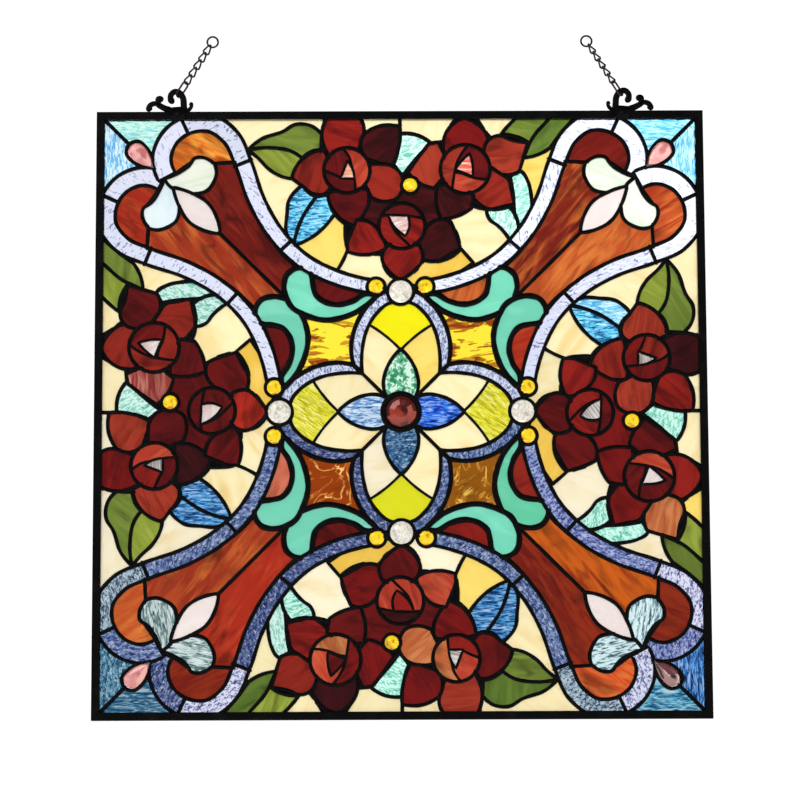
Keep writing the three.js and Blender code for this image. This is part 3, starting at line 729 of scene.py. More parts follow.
def plates(chosen, half_depth, inset):
    """Flat plates cut to the pieces' outlines. Each outline point moves inwards by the
    inset, along the mean of its two edges' normals, n1 + n2, times 2 / |n1 + n2|^2.
    Returns points, faces, and each point's piece."""
    own = triangles[chosen]
    owner = pieces[chosen]
    key, index = np.unique(np.c_[np.repeat(owner, 3), own.ravel()], axis=0, return_inverse=True)
    face = index.reshape(-1, 3)
    place = corner_xz[key[:, 1]].copy()
    edge = edges_of(face)
    _, first, times = np.unique(np.sort(edge, axis=1), axis=0, return_index=True, return_counts=True)
    rim = edge[first[times == 1]]
    along = place[rim[:, 1]] - place[rim[:, 0]]
    along /= np.maximum(np.linalg.norm(along, axis=1), 1e-9)[:, None]
    inward = np.c_[-along[:, 1], along[:, 0]]
    total = np.zeros_like(place)
    np.add.at(total, rim[:, 0], inward)
    np.add.at(total, rim[:, 1], inward)
    square = np.sum(total**2, axis=1)
    place += inset * 2 * total / np.maximum(square, SHARPEST)[:, None]
    count = len(place)
    points = np.concatenate([at_depth(place, y) for y in (-half_depth, half_depth)])
    walls = np.c_[rim[:, 0] + count, rim[:, 1] + count, rim[:, 1], rim[:, 0]]
    return points, [np.concatenate([face, face[:, ::-1] + count]), walls], np.tile(key[:, 0], 2)


def to_linear(colour):
    """From sRGB 0-255 to the linear values that shaders use."""
    c = np.asarray(colour, float) / 255
    return np.where(c <= 0.04045, c / 12.92, ((c + 0.055) / 1.055) ** 2.4)


def lean_of(shape, chance_lean):
    """Which way a shape's streaks run: a set lean that is mirrored in two of the corners,
    along the side for a piece of sky, and away from the joint for a comma."""
    x, z = shape.points.mean(axis=0)
    if shape.name == "sky":
        return np.pi / 2 if abs(x) > abs(z) else 0
    if shape.name == "comma":
        return np.arctan2(z - np.sign(z) * JOINT, x - np.sign(x) * JOINT)
    lean = LEAN.get(shape.name, chance_lean)
    is_mirrored = shape.name in LEAN and ("bottom_right" in shape.node or "top_left" in shape.node)
    return np.pi - lean if is_mirrored else lean


chance = np.random.default_rng(7)
chance_leans = chance.uniform(0, np.pi, piece_count)
piece_shift = chance.uniform(0, WIDEST_SHIFT, (piece_count, 3))
piece_shade = chance.uniform(*SHADES, piece_count)
piece_turn = np.array([lean_of(shapes[n], lean) for n, lean in zip(piece_label, chance_leans)])


def lay_glass(materials):
    """One object for each CAD node and each surface of glass in it."""
    groups = {}
    for number in np.flatnonzero(is_glass):
        surface = SURFACE_OF[piece_sheet[number]]
        groups.setdefault((shapes[piece_label[number]].node, surface), []).append(number)
    sheets = [COLOURS_OF[sheet or "milk"] for sheet in piece_sheet]
    sheet_colour, streak_colour = to_linear(sheets).transpose(1, 0, 2)
    for (node, surface), members in sorted(groups.items()):
        points, faces, owner = plates(np.isin(pieces, members), GLASS / 2, INSET)
        lean, shift = piece_turn[owner], piece_shift[owner]
        x, y, z = points.T
        grain = np.c_[x * np.cos(lean) + z * np.sin(lean), z * np.cos(lean) - x * np.sin(lean), y] + shift
        attributes = {"grain": grain}
        for title, colour in (("sheet", sheet_colour), ("streak", streak_colour)):
            rgb = np.clip(colour[owner] * piece_shade[owner][:, None], 0, 1)
            attributes[title] = np.c_[rgb, np.ones(len(rgb))]
        name, glass = f"{node}_{surface}", materials[surface]
        make_object(name, points, faces, glass, (node,), True, attributes)


# ---------------------------------------------------------------- solder
LOOK_ASIDE = 0.3  # how far beside a line the shapes on its two sides are read
PAST_SIGHT = 1.5  # how far solder goes on behind the channel's edge
FINER = 3  # steps between two points of a line, to find where it shows
SOLDER_SINK = 0.12  # of a bead's underside into the glass
WEB = 0.45  # half thickness of the solder between two pieces
WAVES = ((0.05, 1.0, 0.5), (0.03, 2.3, 1.1))  # of a bead's size: share, start and pace
NEXT_WAVE = 1.7  # from one bead's start to the next one's
JOINT_GRID = 2.6  # line ends this close share one joint
JOINT_SHARE = 0.97  # of the line's half width, so that it stays inside the lines
JOINT_RISE = 1.15  # of the line's rise
JOINT_RINGS = ((1, 0), (0.75, 0.65), (0.1, 1.0))  # radius and height, as shares
FILL_RISE = 0.35  # of a gap filled with solder, over the glass
FILL_SPREAD = 0.3  # of it, under the beads


def edge_normals(line, closed):
    forward = np.roll(line, -1, axis=0) - np.roll(line, 1, axis=0) if closed else np.gradient(line, axis=0)
    forward /= np.maximum(np.linalg.norm(forward, axis=1), 1e-9)[:, None]
    return np.c_[-forward[:, 1], forward[:, 0]]


def beside(line, closed, across):
    """A row of points for each point of a line, at these distances to its side."""
    return line[:, None, :] + edge_normals(line, closed)[:, None, :] * across[..., None]


def runs_of(mask, closed):
    """The stretches of a line where the mask holds, each one point longer at both ends."""
    count = len(mask)
    if mask.all():
        return [(np.arange(count), closed)]
    if not mask.any():
        return []
    start = np.flatnonzero(~mask)[0] if closed else 0
    order = (np.arange(count) + start) % count
    change = np.diff(np.r_[False, mask[order], False].astype(int))
    runs = []
    for a, b in zip(np.flatnonzero(change == 1), np.flatnonzero(change == -1)):
        if closed:
            runs.append((order[np.arange(a - 1, b + 1) % count], False))
        else:
            runs.append((order[max(a - 1, 0): b + 1], False))
    return runs


def finer(line, closed):
    """More points between every two of a line."""
    following = np.roll(line, -1, axis=0) if closed else line[1:]
    steps = np.arange(FINER)[None, :, None] / FINER
    between = line[: len(following), None] + steps * (following - line[: len(following)])[:, None]
    return between.reshape(-1, 2) if closed else np.concatenate([between.reshape(-1, 2), line[-1:]])


def solder_runs():
    """Where each shape's outline shows: on its two sides lie different shapes, one of them
    its own or inside its own. A cut shows where its owner is on top."""
    lines = [(finer(shape.points, True), True, number, shape.width) for number, shape in enumerate(shapes)]
    lines += [(finer(points, False), False, owner, width) for owner, points, width in cuts]
    lengths = [len(line) for line, *_ in lines]
    here = np.concatenate([line for line, *_ in lines])
    aside = LOOK_ASIDE * np.concatenate([edge_normals(line, closed) for line, closed, *_ in lines])
    left, right = top_shape(here + aside), top_shape(here - aside)
    group = [number if shape.owner is None else shape.owner for number, shape in enumerate(shapes)]
    group = np.array(group + [-1])
    own = np.repeat([number for _, _, number, _ in lines], lengths)
    is_outline = np.repeat([closed for _, closed, *_ in lines], lengths)
    is_own = (left == own) | (right == own) | ((group[left] == own) != (group[right] == own))
    shown = np.where(is_outline, (left != right) & is_own, (left == own) & (right == own))
    shown &= np.all(np.abs(here) < SIGHT + PAST_SIGHT, axis=1)
    start = 0
    for (line, closed, number, width), length in zip(lines, lengths):
        for index, whole in runs_of(shown[start:start + length], closed):
            kept = index % FINER == 0
            if not whole:
                kept[[0, -1]] = True
            if kept.sum() > 2:
                yield line[index[kept]], whole, width
        start += length


def bead(line, half, closed, rise, wave):
    """A low arch carried along a line: w cos t across and r sin t in depth, closed by its
    flat underside. The half width w and the rise r waver a little along the line."""
    angle = np.linspace(0, np.pi, 6)
    wobble = 1
    for share, start, pace in WAVES:
        wobble = wobble + share * np.sin(start * wave + np.arange(len(line)) * pace)
    across = (half * wobble)[:, None] * np.cos(angle)
    return beside(line, closed, across), (rise * wobble)[:, None] * np.sin(angle)


def solder_lines(material):
    front, back, web = Heap(), Heap(), Heap()
    joints = []
    surface = GLASS / 2 - SOLDER_SINK
    section = np.array([(-WEB, -surface), (WEB, -surface), (WEB, surface), (-WEB, surface)])

    def on_both_faces(place, depth, closed):
        front.add_grid(at_depth(place, -(surface + depth)), closed)
        back.add_grid(at_depth(place, surface + depth)[:, ::-1], closed)

    for number, (line, closed, half) in enumerate(solder_runs()):
        on_both_faces(*bead(line, half, closed, BEAD_RISE * half / MEDIUM, number * NEXT_WAVE), closed)
        web.add_grid(at_depth(beside(line, closed, section[:, 0]), section[:, 1])[:, ::-1], closed)
        if not closed:
            joints += [(*line[0], half), (*line[-1], half)]
    joints = np.array(joints)
    _, first = np.unique(np.round(joints[:, :2] / JOINT_GRID), axis=0, return_index=True)
    angle = around(7)
    share, rise = np.array(JOINT_RINGS).T[..., None]
    for x, z, half in joints[first]:
        radius = half * JOINT_SHARE * share
        place = np.stack([x + radius * np.cos(angle), z + radius * np.sin(angle)], axis=-1)
        on_both_faces(place, BEAD_RISE * half / MEDIUM * JOINT_RISE * rise, False)
    front.build("solder_lines_front", material, "black_solder", ("solder_lattice",))
    back.build("solder_lines_back", material, "black_solder", ("solder_lattice",))
    web.build("solder_between_glass", material, "black_solder", ("solder_lattice",), True)
    points, faces, _ = plates(is_fill[pieces], GLASS / 2 + FILL_RISE, -FILL_SPREAD)
    make_object("solder_filled_gaps", points, faces, material, ("solder_lattice",))


# ---------------------------------------------------------------- jewels
SEAT = 1.4  # the solder's ring covers this much of a jewel's edge
RISES = {"centre": 6.4, "clear": 4.4, "amber": 2.8, "rose_jewel": 3.9, "drop": 3.9}
ROUND_RADIUS = np.sin(np.linspace(np.pi / 2, 0.06, 7))
ROUND_DOME = (ROUND_RADIUS, np.sqrt(1 - ROUND_RADIUS**2))  # rings as shares of radius and rise
CUT_DOME = (np.array([1, 0.72, 0.4, 0.02]), np.array([0, 0.62, 0.9, 1.0]))
FACET = 4  # points of the circle to one facet of the centre jewel
DROP_SHARE = 0.87  # of the drop's outline, inside its ring of solder
DROPS = ("pink_jewel", "plum_jewel", "pink_jewel", "pink_jewel")  # one of them is a darker piece


def dome(points, rise, rings=ROUND_DOME):
    """A pressed glass jewel on an outline: rings of it shrink to its middle while the front
    rises, on a round one as the square root of 1 - r^2. The back is flat with a small bevel."""
    following = np.roll(points, -1, axis=0)
    if np.sum(points[:, 0] * following[:, 1] - points[:, 1] * following[:, 0]) > 0:
        points = points[::-1]
    middle = points.mean(axis=0)
    back = GLASS / 2 - 0.2
    front = -GLASS / 2 + 0.1
    radius, height = rings
    share = np.r_[0.02, 0.8, 0.97, radius]
    depth = np.r_[back, back, back - 0.4, front - rise * height]
    return at_depth(middle + share[:, None, None] * (points - middle), depth[:, None])


def round_jewel(name, side, hand=1):
    x, z, radius = JEWELS[name]
    return dome(turned(circle(hand * x, z, radius - SEAT), side), RISES[name])


def jewel_object(name, grids, material, slot, node, flat=False):
    heap = Heap()
    for grid in grids:
        heap.add_grid(grid[:, ::-1])
    heap.build(name, material, slot, (node,), flat)


def set_jewels(materials):
    x, z, radius = JEWELS["centre"]
    facets = circle(x, z, radius - SEAT)[::FACET]
    centre = dome(facets, RISES["centre"], CUT_DOME)
    clear, amber, copper = (materials[f"{name}_jewel"] for name in ("clear", "amber", "copper"))
    jewel_object("centre_jewel_cut", [centre], copper, "copper_jewel", "centre_jewel", True)
    for side, place in enumerate(SIDES):
        trio, rose, sky = f"jewel_trio_{place}", f"rose_cluster_{place}", f"corner_sky_{CORNERS[side]}"
        jewel_object(f"{trio}_clear", [round_jewel("clear", side)], clear, "clear_jewel", trio)
        ambers = [round_jewel("amber", side, hand) for hand in (-1, 1)]
        jewel_object(f"{trio}_amber", ambers, amber, "clear_jewel", trio)
        jewel_object(f"{rose}_jewel", [round_jewel("rose_jewel", side)], amber, "clear_jewel", rose)
        points = turned(outline(DROP), side)
        middle = points.mean(axis=0)
        drop = dome(middle + DROP_SHARE * (points - middle), RISES["drop"])
        jewel_object(f"{sky}_drop", [drop], materials[DROPS[side]], "copper_jewel", sky)


# ---------------------------------------------------------------- the metal channel
FRAME_DEPTH = 4.7  # half of it
FRAME_WALL = 1.4
EASE = 0.45  # how far an edge of the profile is cut back
SHORT = 0.15  # each side stops this far inside the panel's outside


def channel(material):
    """A U profile with eased corners, carried along each side of the square and mitred: a
    point that lies d inside the square stops d short of its corners."""
    lip = FRAME_DEPTH - FRAME_WALL
    half = [(FRAME_DEPTH, 0), (FRAME_DEPTH, FRAME_FACE), (lip, FRAME_FACE), (lip, FRAME_WALL)]
    corners = np.array(mirrored(half)[-1:] + half + mirrored(half)[:-1], float)
    profile = []
    for point, before, after in zip(corners, np.roll(corners, 1, axis=0), np.roll(corners, -1, axis=0)):
        for other in (before, after):
            profile.append(point + (other - point) / np.linalg.norm(other - point) * EASE)
    y, inward = np.array(profile).T
    reach = HALF - inward - SHORT
    for side, place in enumerate(SIDES):
        rows = [turned(np.c_[share * reach, HALF - inward], side) for share in np.linspace(-1, 1, 25)]
        heap = Heap()
        heap.add_grid(at_depth(np.array(rows), y)[:, ::-1])
        heap.build(f"frame_channel_{place}", material, "black_metal", (f"frame_{place}",), True)


# ---------------------------------------------------------------- the scroll hangers
HOOK_X = 226.0
HANGER_DEPTH = 1.5  # half of it
# Rods: x outward from the hook's middle and z up from the channel, then the half widths at the
# start and the end, and the radius of the knob.
SCROLLS = [
    ([(-8.6, 1.5), (-8.2, 8), (-7.4, 15), (-3.5, 20.6), (1, 21.6), (5, 17.6), (4.6, 13), (0.8, 11.4)],
     3.4, 2.9, 3.6),
    ([(6, 3), (13, 5.5), (18, 9.5), (16.6, 13.6), (13, 11.5)], 3.4, 2.7, 3.9),
    ([(16, 7), (21, 9.4), (25.6, 7.4), (26.2, 1)], 2.5, 3.1, 3.4),
    ([(-9, 2.2), (-14, 3.4), (-16, 7.5), (-14.2, 10.4)], 2.2, 1.7, 2.3),
]
FOOT = [(-13, 0.3, 1), (11, 0.3, 1), (8, 5, 1), (-5, 6, 1), (-11, 3, 1)]
TAB = [(-10, 3, 1), (-10, -7, 1), (-8, -9), (4, -9), (6, -7, 1), (6, 3, 1)]  # in front of the channel
SHELF = [(-10, 0.3, 1), (6, 0.3, 1), (6, 3, 1), (-10, 3, 1)]  # from the tab to the foot
TAB_Y = (-6.5, -5.0)
SHELF_END = 0.2 - HANGER_DEPTH
ROD_STEP = 0.6
SQUARENESS = 0.7  # below 1 the rod's section is an oval with fuller corners


def fuller(values):
    """The same sign, and the size to the power of the squareness."""
    return np.sign(values) * np.abs(values) ** SQUARENESS


def scroll(line, start, end, knob):
    """A rod whose section is a full oval, w across and d deep, carried along a line. It ends
    in a knob: w^2 = k^2 - (s - k)^2 at a distance s from the end."""
    path = smooth(line, ROD_STEP)
    travelled = distances(path)
    width = start + (end - start) * travelled / travelled[-1]
    left = travelled[-1] - travelled  # to go to the end
    ball = np.sqrt(np.clip(knob**2 - (left - knob) ** 2, 0.04, None))
    width = np.where(left < knob, ball, np.maximum(width, ball))
    closing = np.where(left < knob, ball / knob, 1)
    angle = around(14)
    across = width[:, None] * fuller(np.cos(angle))
    deep = (HANGER_DEPTH * closing)[:, None] * fuller(np.sin(angle))
    return at_depth(beside(path, False, across), deep)


def hangers(material):
    blocks = ((FOOT, (-HANGER_DEPTH, HANGER_DEPTH)), (TAB, TAB_Y[::-1]), (SHELF, (TAB_Y[1], SHELF_END)))
    grids = [scroll(*part)[:, ::-1] for part in SCROLLS]
    for points, depths in blocks:
        grids.append(np.array([at_depth(outline(points), y) for y in depths]))
    for place, sign in (("left", -1), ("right", 1)):
        heap = Heap()
        for grid in grids:
            grid = grid * np.array([sign, 1, 1]) + np.array([sign * HOOK_X, 0, HALF])
            heap.add_grid(grid if sign > 0 else grid[:, ::-1])
        heap.build(f"hanger_{place}_cast", material, "black_metal", (f"hanger_{place}",))


# ---------------------------------------------------------------- the chains
WIRE = 2.0
CHAIN_LEAN = np.radians(32)
LINKS = [(19.2, 9.0)] + [(12.6, 8.4)] * 5 + [(12.9, 12.9)]  # lengths and widths, the ring last
HOOK_ARM = (-4.2, 20.2)  # where the first link hangs, as x and z of the scrolls
HOOK_REACH = 4.3  # of the first link past it
LINK_TURN = np.radians(42)  # of each link about the chain
RING_TURN = np.radians(90)
CONTACT = 0.45  # how far two links press into each other
TWIST = np.radians(95)  # of a short link, from end to end


def link(length, width, twist):
    """A ring of round wire pulled out along x: its middle line is R (cos t, sin t) with the
    halves parted, and the whole is twisted about x in proportion to x."""
    radius = (width - WIRE) / 2
    angle = around(36) + np.pi / 36
    parted = radius * np.cos(angle) + np.sign(np.cos(angle)) * (length - width) / 2
    middle = np.c_[parted, radius * np.sin(angle)]
    section = around(10)
    ring = beside(middle, True, WIRE / 2 * np.cos(section))
    x, y, z = ring[..., 0], ring[..., 1], np.broadcast_to(WIRE / 2 * np.sin(section), ring.shape[:2])
    lean = twist * x / length
    return np.stack([x, y * np.cos(lean) - z * np.sin(lean), y * np.sin(lean) + z * np.cos(lean)], axis=-1)


def chains(material):
    for place, sign in (("left", -1), ("right", 1)):
        heap = Heap()
        along = np.array([-sign * np.sin(CHAIN_LEAN), 0, np.cos(CHAIN_LEAN)])
        level = np.array([np.cos(CHAIN_LEAN), 0, sign * np.sin(CHAIN_LEAN)])
        start = np.array([sign * (HOOK_X + HOOK_ARM[0]), 0, HALF + HOOK_ARM[1]]) - along * HOOK_REACH
        for number, (length, width) in enumerate(LINKS):
            reach = length - WIRE
            is_ring = number == len(LINKS) - 1
            turn = RING_TURN if is_ring else LINK_TURN
            across = level * np.sin(turn) + np.array([0, np.cos(turn), 0])
            axes = np.array([along, across, np.cross(along, across)])
            twist = 0 if is_ring or number == 0 else TWIST
            heap.add_grid(link(length, width, twist) @ axes + start + along * reach / 2, True)
            start = start + along * (reach - WIRE + CONTACT)
        heap.build(f"chain_{place}_wire", material, "chain_wire", (f"chain_{place}",))


# ---------------------------------------------------------------- shaders
class Wire:
    """An output of a shader node. Arithmetic on it places Math nodes."""

    def __init__(self, graph, socket):
        self.graph, self.socket = graph, socket

    def math(self, operation, *others):
        values = {number + 1: other for number, other in enumerate(others)}
        return self.graph.node("ShaderNodeMath", {"operation": operation}, {0: self, **values})

    def __add__(self, other):
        return self.math("ADD", other)

    def __sub__(self, other):
        return self.math("SUBTRACT", other)

    def __mul__(self, other):
        return self.math("MULTIPLY", other)

    def above(self, low, high):
        """0 below low, 1 above high, smooth between."""
        inputs = {"Value": self, "From Min": low, "From Max": high}
        return self.graph.node("ShaderNodeMapRange", {"interpolation_type": "SMOOTHSTEP"}, inputs)


class Graph:
    """The node tree of one material."""

    def __init__(self, name):
        self.material = bpy.data.materials.new(name)
        self.material.use_nodes = True
        self.tree = self.material.node_tree
        self.tree.nodes.clear()

    def node(self, kind, settings=None, inputs=None, output=0):
        """Places a node of a kind, sets it up, and gives back one of its outputs."""
        node = self.tree.nodes.new(kind)
        for name, value in (settings or {}).items():
            setattr(node, name, value)
        for name, value in (inputs or {}).items():
            if isinstance(value, Wire):
                self.tree.links.new(value.socket, node.inputs[name])
            else:
                node.inputs[name].default_value = value
        return Wire(self, node.outputs[output])

    def attribute(self, name, output="Color"):
        return self.node("ShaderNodeAttribute", {"attribute_name": name}, output=output)

    def stretched(self, vector, *factors):
        return self.node("ShaderNodeVectorMath", {"operation": "MULTIPLY"}, {0: vector, 1: factors})

    def noise(self, vector, scale, detail=2.0, roughness=0.5, distortion=0.0):
        inputs = {"Vector": vector, "Scale": scale, "Detail": detail, "Roughness": roughness,
                  "Distortion": distortion}
        return self.node("ShaderNodeTexNoise", None, inputs)

    def mixed(self, factor, first, second):
        """One colour turns into another as the factor goes from 0 to 1."""
        return self.node("ShaderNodeMix", {"data_type": "RGBA"}, {0: factor, 6: first, 7: second}, 2)

    def bump(self, height, strength, distance):
        inputs = {"Height": height, "Strength": strength, "Distance": distance * MM}
        return self.node("ShaderNodeBump", None, inputs)

    def finish(self, **inputs):
        """The shader itself. Underscores stand for the spaces in its inputs' names."""
        named = {name.replace("_", " "): value for name, value in inputs.items()}
        shader = self.node("ShaderNodeBsdfPrincipled", None, named)
        output = self.tree.nodes.new("ShaderNodeOutputMaterial")
        self.tree.links.new(shader.socket, output.inputs["Surface"])
        return self.material


def colour(r, g, b):
    return (*to_linear((r, g, b)), 1)


# For each surface: the kind of its streaks (clouds, dashes, ripples, chips or curls), how
# far they stretch, the scale (per mm) and warp of the noise, where a streak begins and ends,
# transmission, roughness, and the bump's scale and height in mm.
SURFACES = {
    "streaky": ("clouds", (0.16, 1, 1), 0.115, 1.2, 0.42, 0.62, 0.74, 0.40, 0.06, 0.5),
    "striped": ("clouds", (0.06, 1, 1), 0.42, 0.6, 0.44, 0.54, 0.72, 0.40, 0.08, 0.4),
    "milky": ("clouds", (0.3, 1, 1), 0.06, 1.0, 0.42, 0.72, 0.66, 0.50, 0.04, 0.4),
    "rippled": ("ripples", (0.19, 1, 1), 0.40, 1.1, 0.545, 0.585, 0.96, 0.10, 0.22, 0.8),
    "hammered": ("dashes", (0.42, 1, 1), 0.34, 0.9, 0.52, 0.58, 0.96, 0.14, 0.30, 0.6),
    "seedy": ("ripples", (0.55, 1, 1), 0.42, 0.9, 0.55, 0.59, 0.95, 0.16, 0.34, 0.5),
    "flecked": ("dashes", (0.36, 1, 1), 0.36, 0.6, 0.62, 0.66, 0.95, 0.16, 0.30, 0.4),
    "mottled": ("chips", (1, 1, 1), 0.34, 0, 0.44, 0.46, 0.86, 0.22, 0.30, 0.4),
    "dashed": ("dashes", (0.30, 1, 1), 0.12, 0.5, 0.56, 0.585, 0.86, 0.20, 0.10, 0.2),
    "swirled": ("curls", (0.8, 1, 1), 0.040, 1.2, 0.016, 0.028, 0.94, 0.10, 0.10, 0.6),
}
DEPTH = {"streaky": 0.6, "rippled": 0.12, "swirled": 0.35}  # how dark the darker parts of a sheet get
DETAIL = {"clouds": 2.0, "dashes": 2.0, "ripples": 1.0, "curls": 2.0}  # octaves of the noise
GRIT = 0.55  # share of each finer octave
# Large noises: the scale, and between which values they go from nothing to full.
CLOUDS = (0.02, 0.35, 0.6)  # where the clouds show
GAPS = (1.7, 0.44, 0.54)  # where the curls are broken off, the scale as a multiple of theirs
DARK = (0.06, 0.48, 0.75)  # the darker parts of a sheet
DARK_STRETCH = (0.45, 1, 1)
RELIEF = 4  # how much deeper the bumps are drawn than their height
GLINT = 0.36  # how far a ripple's painted glint, a painted highlight on its bright side, goes towards white
FAINTEST = 0.3  # share that is left of the clouds where they thin out
BLACK, WHITE = (0, 0, 0, 1), (1, 1, 1, 1)


def pattern(g, kind, grain, scale, warp, low, high):
    """How much of the streak's colour shows at each point, from 0 to 1."""
    if kind == "chips":  # each cell has its own random number
        cell = g.node("ShaderNodeTexVoronoi", None, {"Vector": grain, "Scale": scale}, "Color")
        return g.node("ShaderNodeSeparateColor", None, {"Color": cell}).above(low, high)
    noise = g.noise(grain, scale, DETAIL[kind], GRIT, warp)
    if kind != "curls":
        return noise.above(low, high)
    line = (noise - 0.5).math("ABSOLUTE").above(low, high) * -1 + 1  # where the noise is near its mean
    return line * g.noise(grain, scale * GAPS[0], 1.0).above(*GAPS[1:])


def sheet_glass(name):
    kind, stretch, scale, warp, low, high, clear, rough, size, height = SURFACES[name]
    g = Graph(name + "_glass")
    grain = g.attribute("grain", "Vector")
    long_grain = g.stretched(grain, *stretch)
    streaks = pattern(g, kind, long_grain, scale, warp, low, high)
    if kind == "clouds":
        streaks = streaks * (g.noise(grain, CLOUDS[0]).above(*CLOUDS[1:]) * (1 - FAINTEST) + FAINTEST)
    tint = g.mixed(streaks, g.attribute("sheet"), g.attribute("streak"))
    if kind == "ripples":  # a ripple is dark on one side, where the glass is deeper, and has a painted glint, a painted highlight, on the other
        other = g.noise(long_grain, scale, DETAIL[kind], GRIT, warp) * -1 + 1
        tint = g.mixed(other.above(low, high) * GLINT, tint, WHITE)
    if name in DEPTH:
        dark = g.noise(g.stretched(grain, *DARK_STRETCH), DARK[0], 3.0, 0.5, 0.8).above(*DARK[1:])
        tint = g.mixed(dark * DEPTH[name], tint, BLACK)
    relief = g.noise(long_grain, size, 2.0, 0.5, warp)
    return g.finish(Base_Color=tint, Roughness=rough, Transmission_Weight=clear, IOR=1.16,
                    Normal=g.bump(relief, 0.6, height * RELIEF), Coat_Weight=0.2, Coat_Roughness=0.06)


# Jewels: the two colours, darker and lighter, roughness, the scale (per m) and height (mm) of their
# pebbled surface, then how much more light gathers below, the share that gathers by the way the surface
# faces, and where the lighter colour ends and the darker one is full. Where light gathers below or by
# facing, the two colours are painted light and shade: a painted highlight on one side of a dome or facet
# and painted shade on the other.
JEWEL_GLASS = {
    "clear_jewel": ((186, 178, 164), (244, 240, 228), 0.2, 260, 1.6, 0, 0, 0.42, 0.7),
    "amber_jewel": ((190, 104, 10), (254, 222, 30), 0.1, 110, 0.2, -0.14, 0.6, 0.52, 0.64),
    "copper_jewel": ((46, 9, 10), (180, 66, 44), 0.08, 110, 0.2, 0.06, 0.85, 0.43, 0.57),
    "pink_jewel": ((176, 88, 84), (246, 184, 180), 0.12, 70, 0.4, 0.12, 0.6, 0.47, 0.62),
    "plum_jewel": ((58, 18, 24), (250, 216, 208), 0.12, 70, 0.4, 0.2, 0.6, 0.41, 0.47),
}


def jewel_glass(name):
    deep, light, rough, pebble, height, painted_light_below, painted_light_by_facing, low, high = JEWEL_GLASS[name]
    g = Graph(name)
    place = g.node("ShaderNodeTexCoord", output="Object")
    cell = g.noise(place, pebble, 2.0, 0.5, 0.6)
    shade = cell
    # painted light and shade: a dome is lighter below (or above) and its facets lighter or darker by the
    # way they face
    if painted_light_by_facing:
        facing = g.node("ShaderNodeTexCoord", output="Normal")
        upward = g.node("ShaderNodeSeparateXYZ", None, {0: facing}, "Z")
        shade = cell * (1 - painted_light_by_facing) + g.noise(facing, 1.9, 1.0) * painted_light_by_facing + upward * painted_light_below
    tint = g.mixed(shade.above(low, high), colour(*light), colour(*deep))
    return g.finish(Base_Color=tint, Roughness=rough, Transmission_Weight=0.8, IOR=1.18,
                    Normal=g.bump(cell, 0.5, height), Coat_Weight=0.8, Coat_Roughness=0.03)


# Metals: the two colours, metallic, roughness, the scale (per m) and height (mm) of the
# surface, and the specular level.
METALS = {
    "black_solder": ((3, 3, 4), (13, 12, 13), 0.15, 0.34, 120, 0.2, 0.1),
    "black_metal": ((3, 3, 4), (13, 12, 12), 0.15, 0.42, 60, 0.12, 0.1),
    "chain_wire": ((40, 30, 40), (84, 70, 80), 0.35, 0.45, 200, 0.1, 0.2),
}
ROUGH_SPREAD = 0.18  # between the smoothest and the roughest parts of a metal


def metal(name):
    dark, worn, metallic, rough, grain, height, specular = METALS[name]
    g = Graph(name)
    place = g.node("ShaderNodeTexCoord", output="Object")
    cloud = g.noise(place, grain, 4.0, 0.6)
    fine = g.noise(place, grain * 7, 2.0)
    tint = g.mixed(cloud.above(0.45, 0.75), colour(*dark), colour(*worn))
    uneven = fine * ROUGH_SPREAD + (rough - ROUGH_SPREAD / 2)
    return g.finish(Base_Color=tint, Metallic=metallic, Roughness=uneven, Specular_IOR_Level=specular,
                    Normal=g.bump(fine + cloud * 2, 0.5, height))


materials = {name: sheet_glass(name) for name in SURFACES}
materials.update({name: jewel_glass(name) for name in JEWEL_GLASS})
materials.update({name: metal(name) for name in METALS})

lay_glass(materials)
solder_lines(materials["black_solder"])
set_jewels(materials)
channel(materials["black_metal"])
hangers(materials["black_metal"])
chains(materials["chain_wire"])

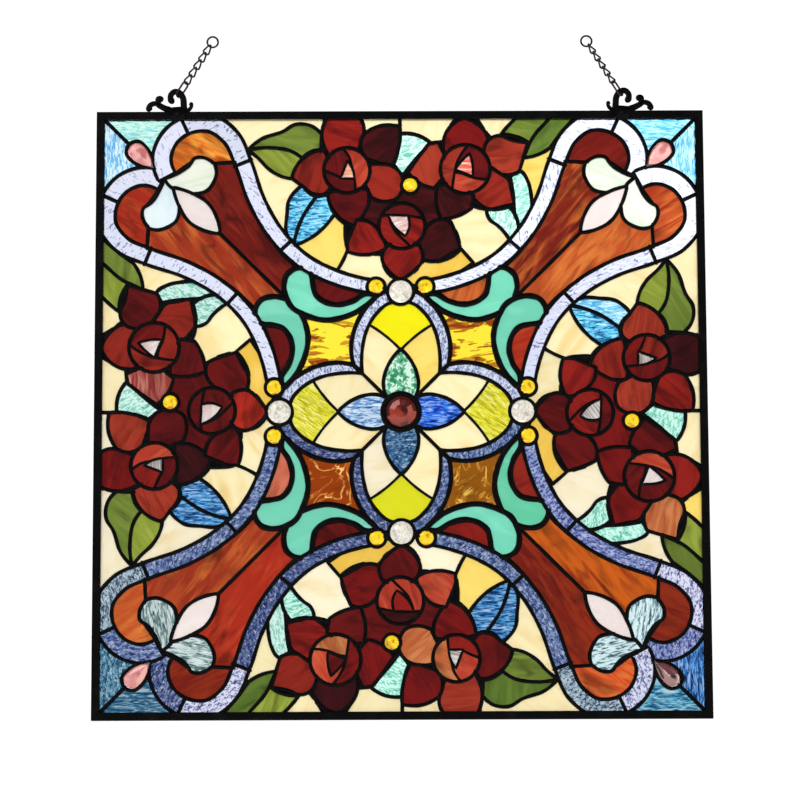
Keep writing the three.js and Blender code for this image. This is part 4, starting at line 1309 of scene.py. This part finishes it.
# ---------------------------------------------------------------- floor, light, camera
FLOOR = -1.6
SKY = 1.06  # the world's strength where it shows, lights, and shines through glass
SKY_MIRRORED = 0.25  # and in what smooth surfaces mirror
LAMPS = {  # place, size and power, all of them facing the panel's middle
    "key": ((-1.6, -2.2, 1.2), 1.4, 22),
    "fill": ((2.2, -2.0, 0.2), 1.8, 10),
    "behind": ((0.6, 2.4, 1.0), 1.6, 4),
}
CAMERA_PLACE = (-0.016, -3.080, -0.803)
CAMERA_TURN = (1.7117, 0.004, -0.0043)
LENS, SENSOR = 140.7, 36

bpy.ops.mesh.primitive_plane_add(size=30, location=(0, 0, FLOOR))
floor = bpy.context.object
floor.name = "floor"
floor.data.materials.append(Graph("pale_floor").finish(Base_Color=(0.86, 0.86, 0.86, 1), Roughness=0.8))

scene = bpy.context.scene
scene.view_settings.view_transform = "Standard"
scene.view_settings.look = "None"
world = bpy.data.worlds.new("studio")
scene.world = world
world.use_nodes = True
sky = world.node_tree
background = sky.nodes["Background"]
background.inputs["Color"].default_value = WHITE
path = sky.nodes.new("ShaderNodeLightPath")
mirrored_only = sky.nodes.new("ShaderNodeMath")  # mirrored rays, but not those through glass
mirrored_only.operation = "SUBTRACT"
strength = sky.nodes.new("ShaderNodeMapRange")
strength.inputs["To Min"].default_value = SKY
strength.inputs["To Max"].default_value = SKY_MIRRORED
sky.links.new(path.outputs["Is Glossy Ray"], mirrored_only.inputs[0])
sky.links.new(path.outputs["Is Transmission Ray"], mirrored_only.inputs[1])
sky.links.new(mirrored_only.outputs[0], strength.inputs["Value"])
sky.links.new(strength.outputs[0], background.inputs["Strength"])

for name, (place, size, watts) in LAMPS.items():
    lamp = bpy.data.lights.new(name, "AREA")
    lamp.size = size
    lamp.energy = watts
    thing = bpy.data.objects.new(name, lamp)
    bpy.context.collection.objects.link(thing)
    thing.location = place
    way = Vector((0, 0, MIDDLE)) - Vector(place)
    thing.rotation_euler = way.to_track_quat("-Z", "Y").to_euler()

camera = bpy.data.objects.new("camera", bpy.data.cameras.new("camera"))
bpy.context.collection.objects.link(camera)
camera.data.lens = LENS
camera.data.sensor_width = SENSOR
camera.location = CAMERA_PLACE
camera.rotation_euler = CAMERA_TURN
scene.camera = camera
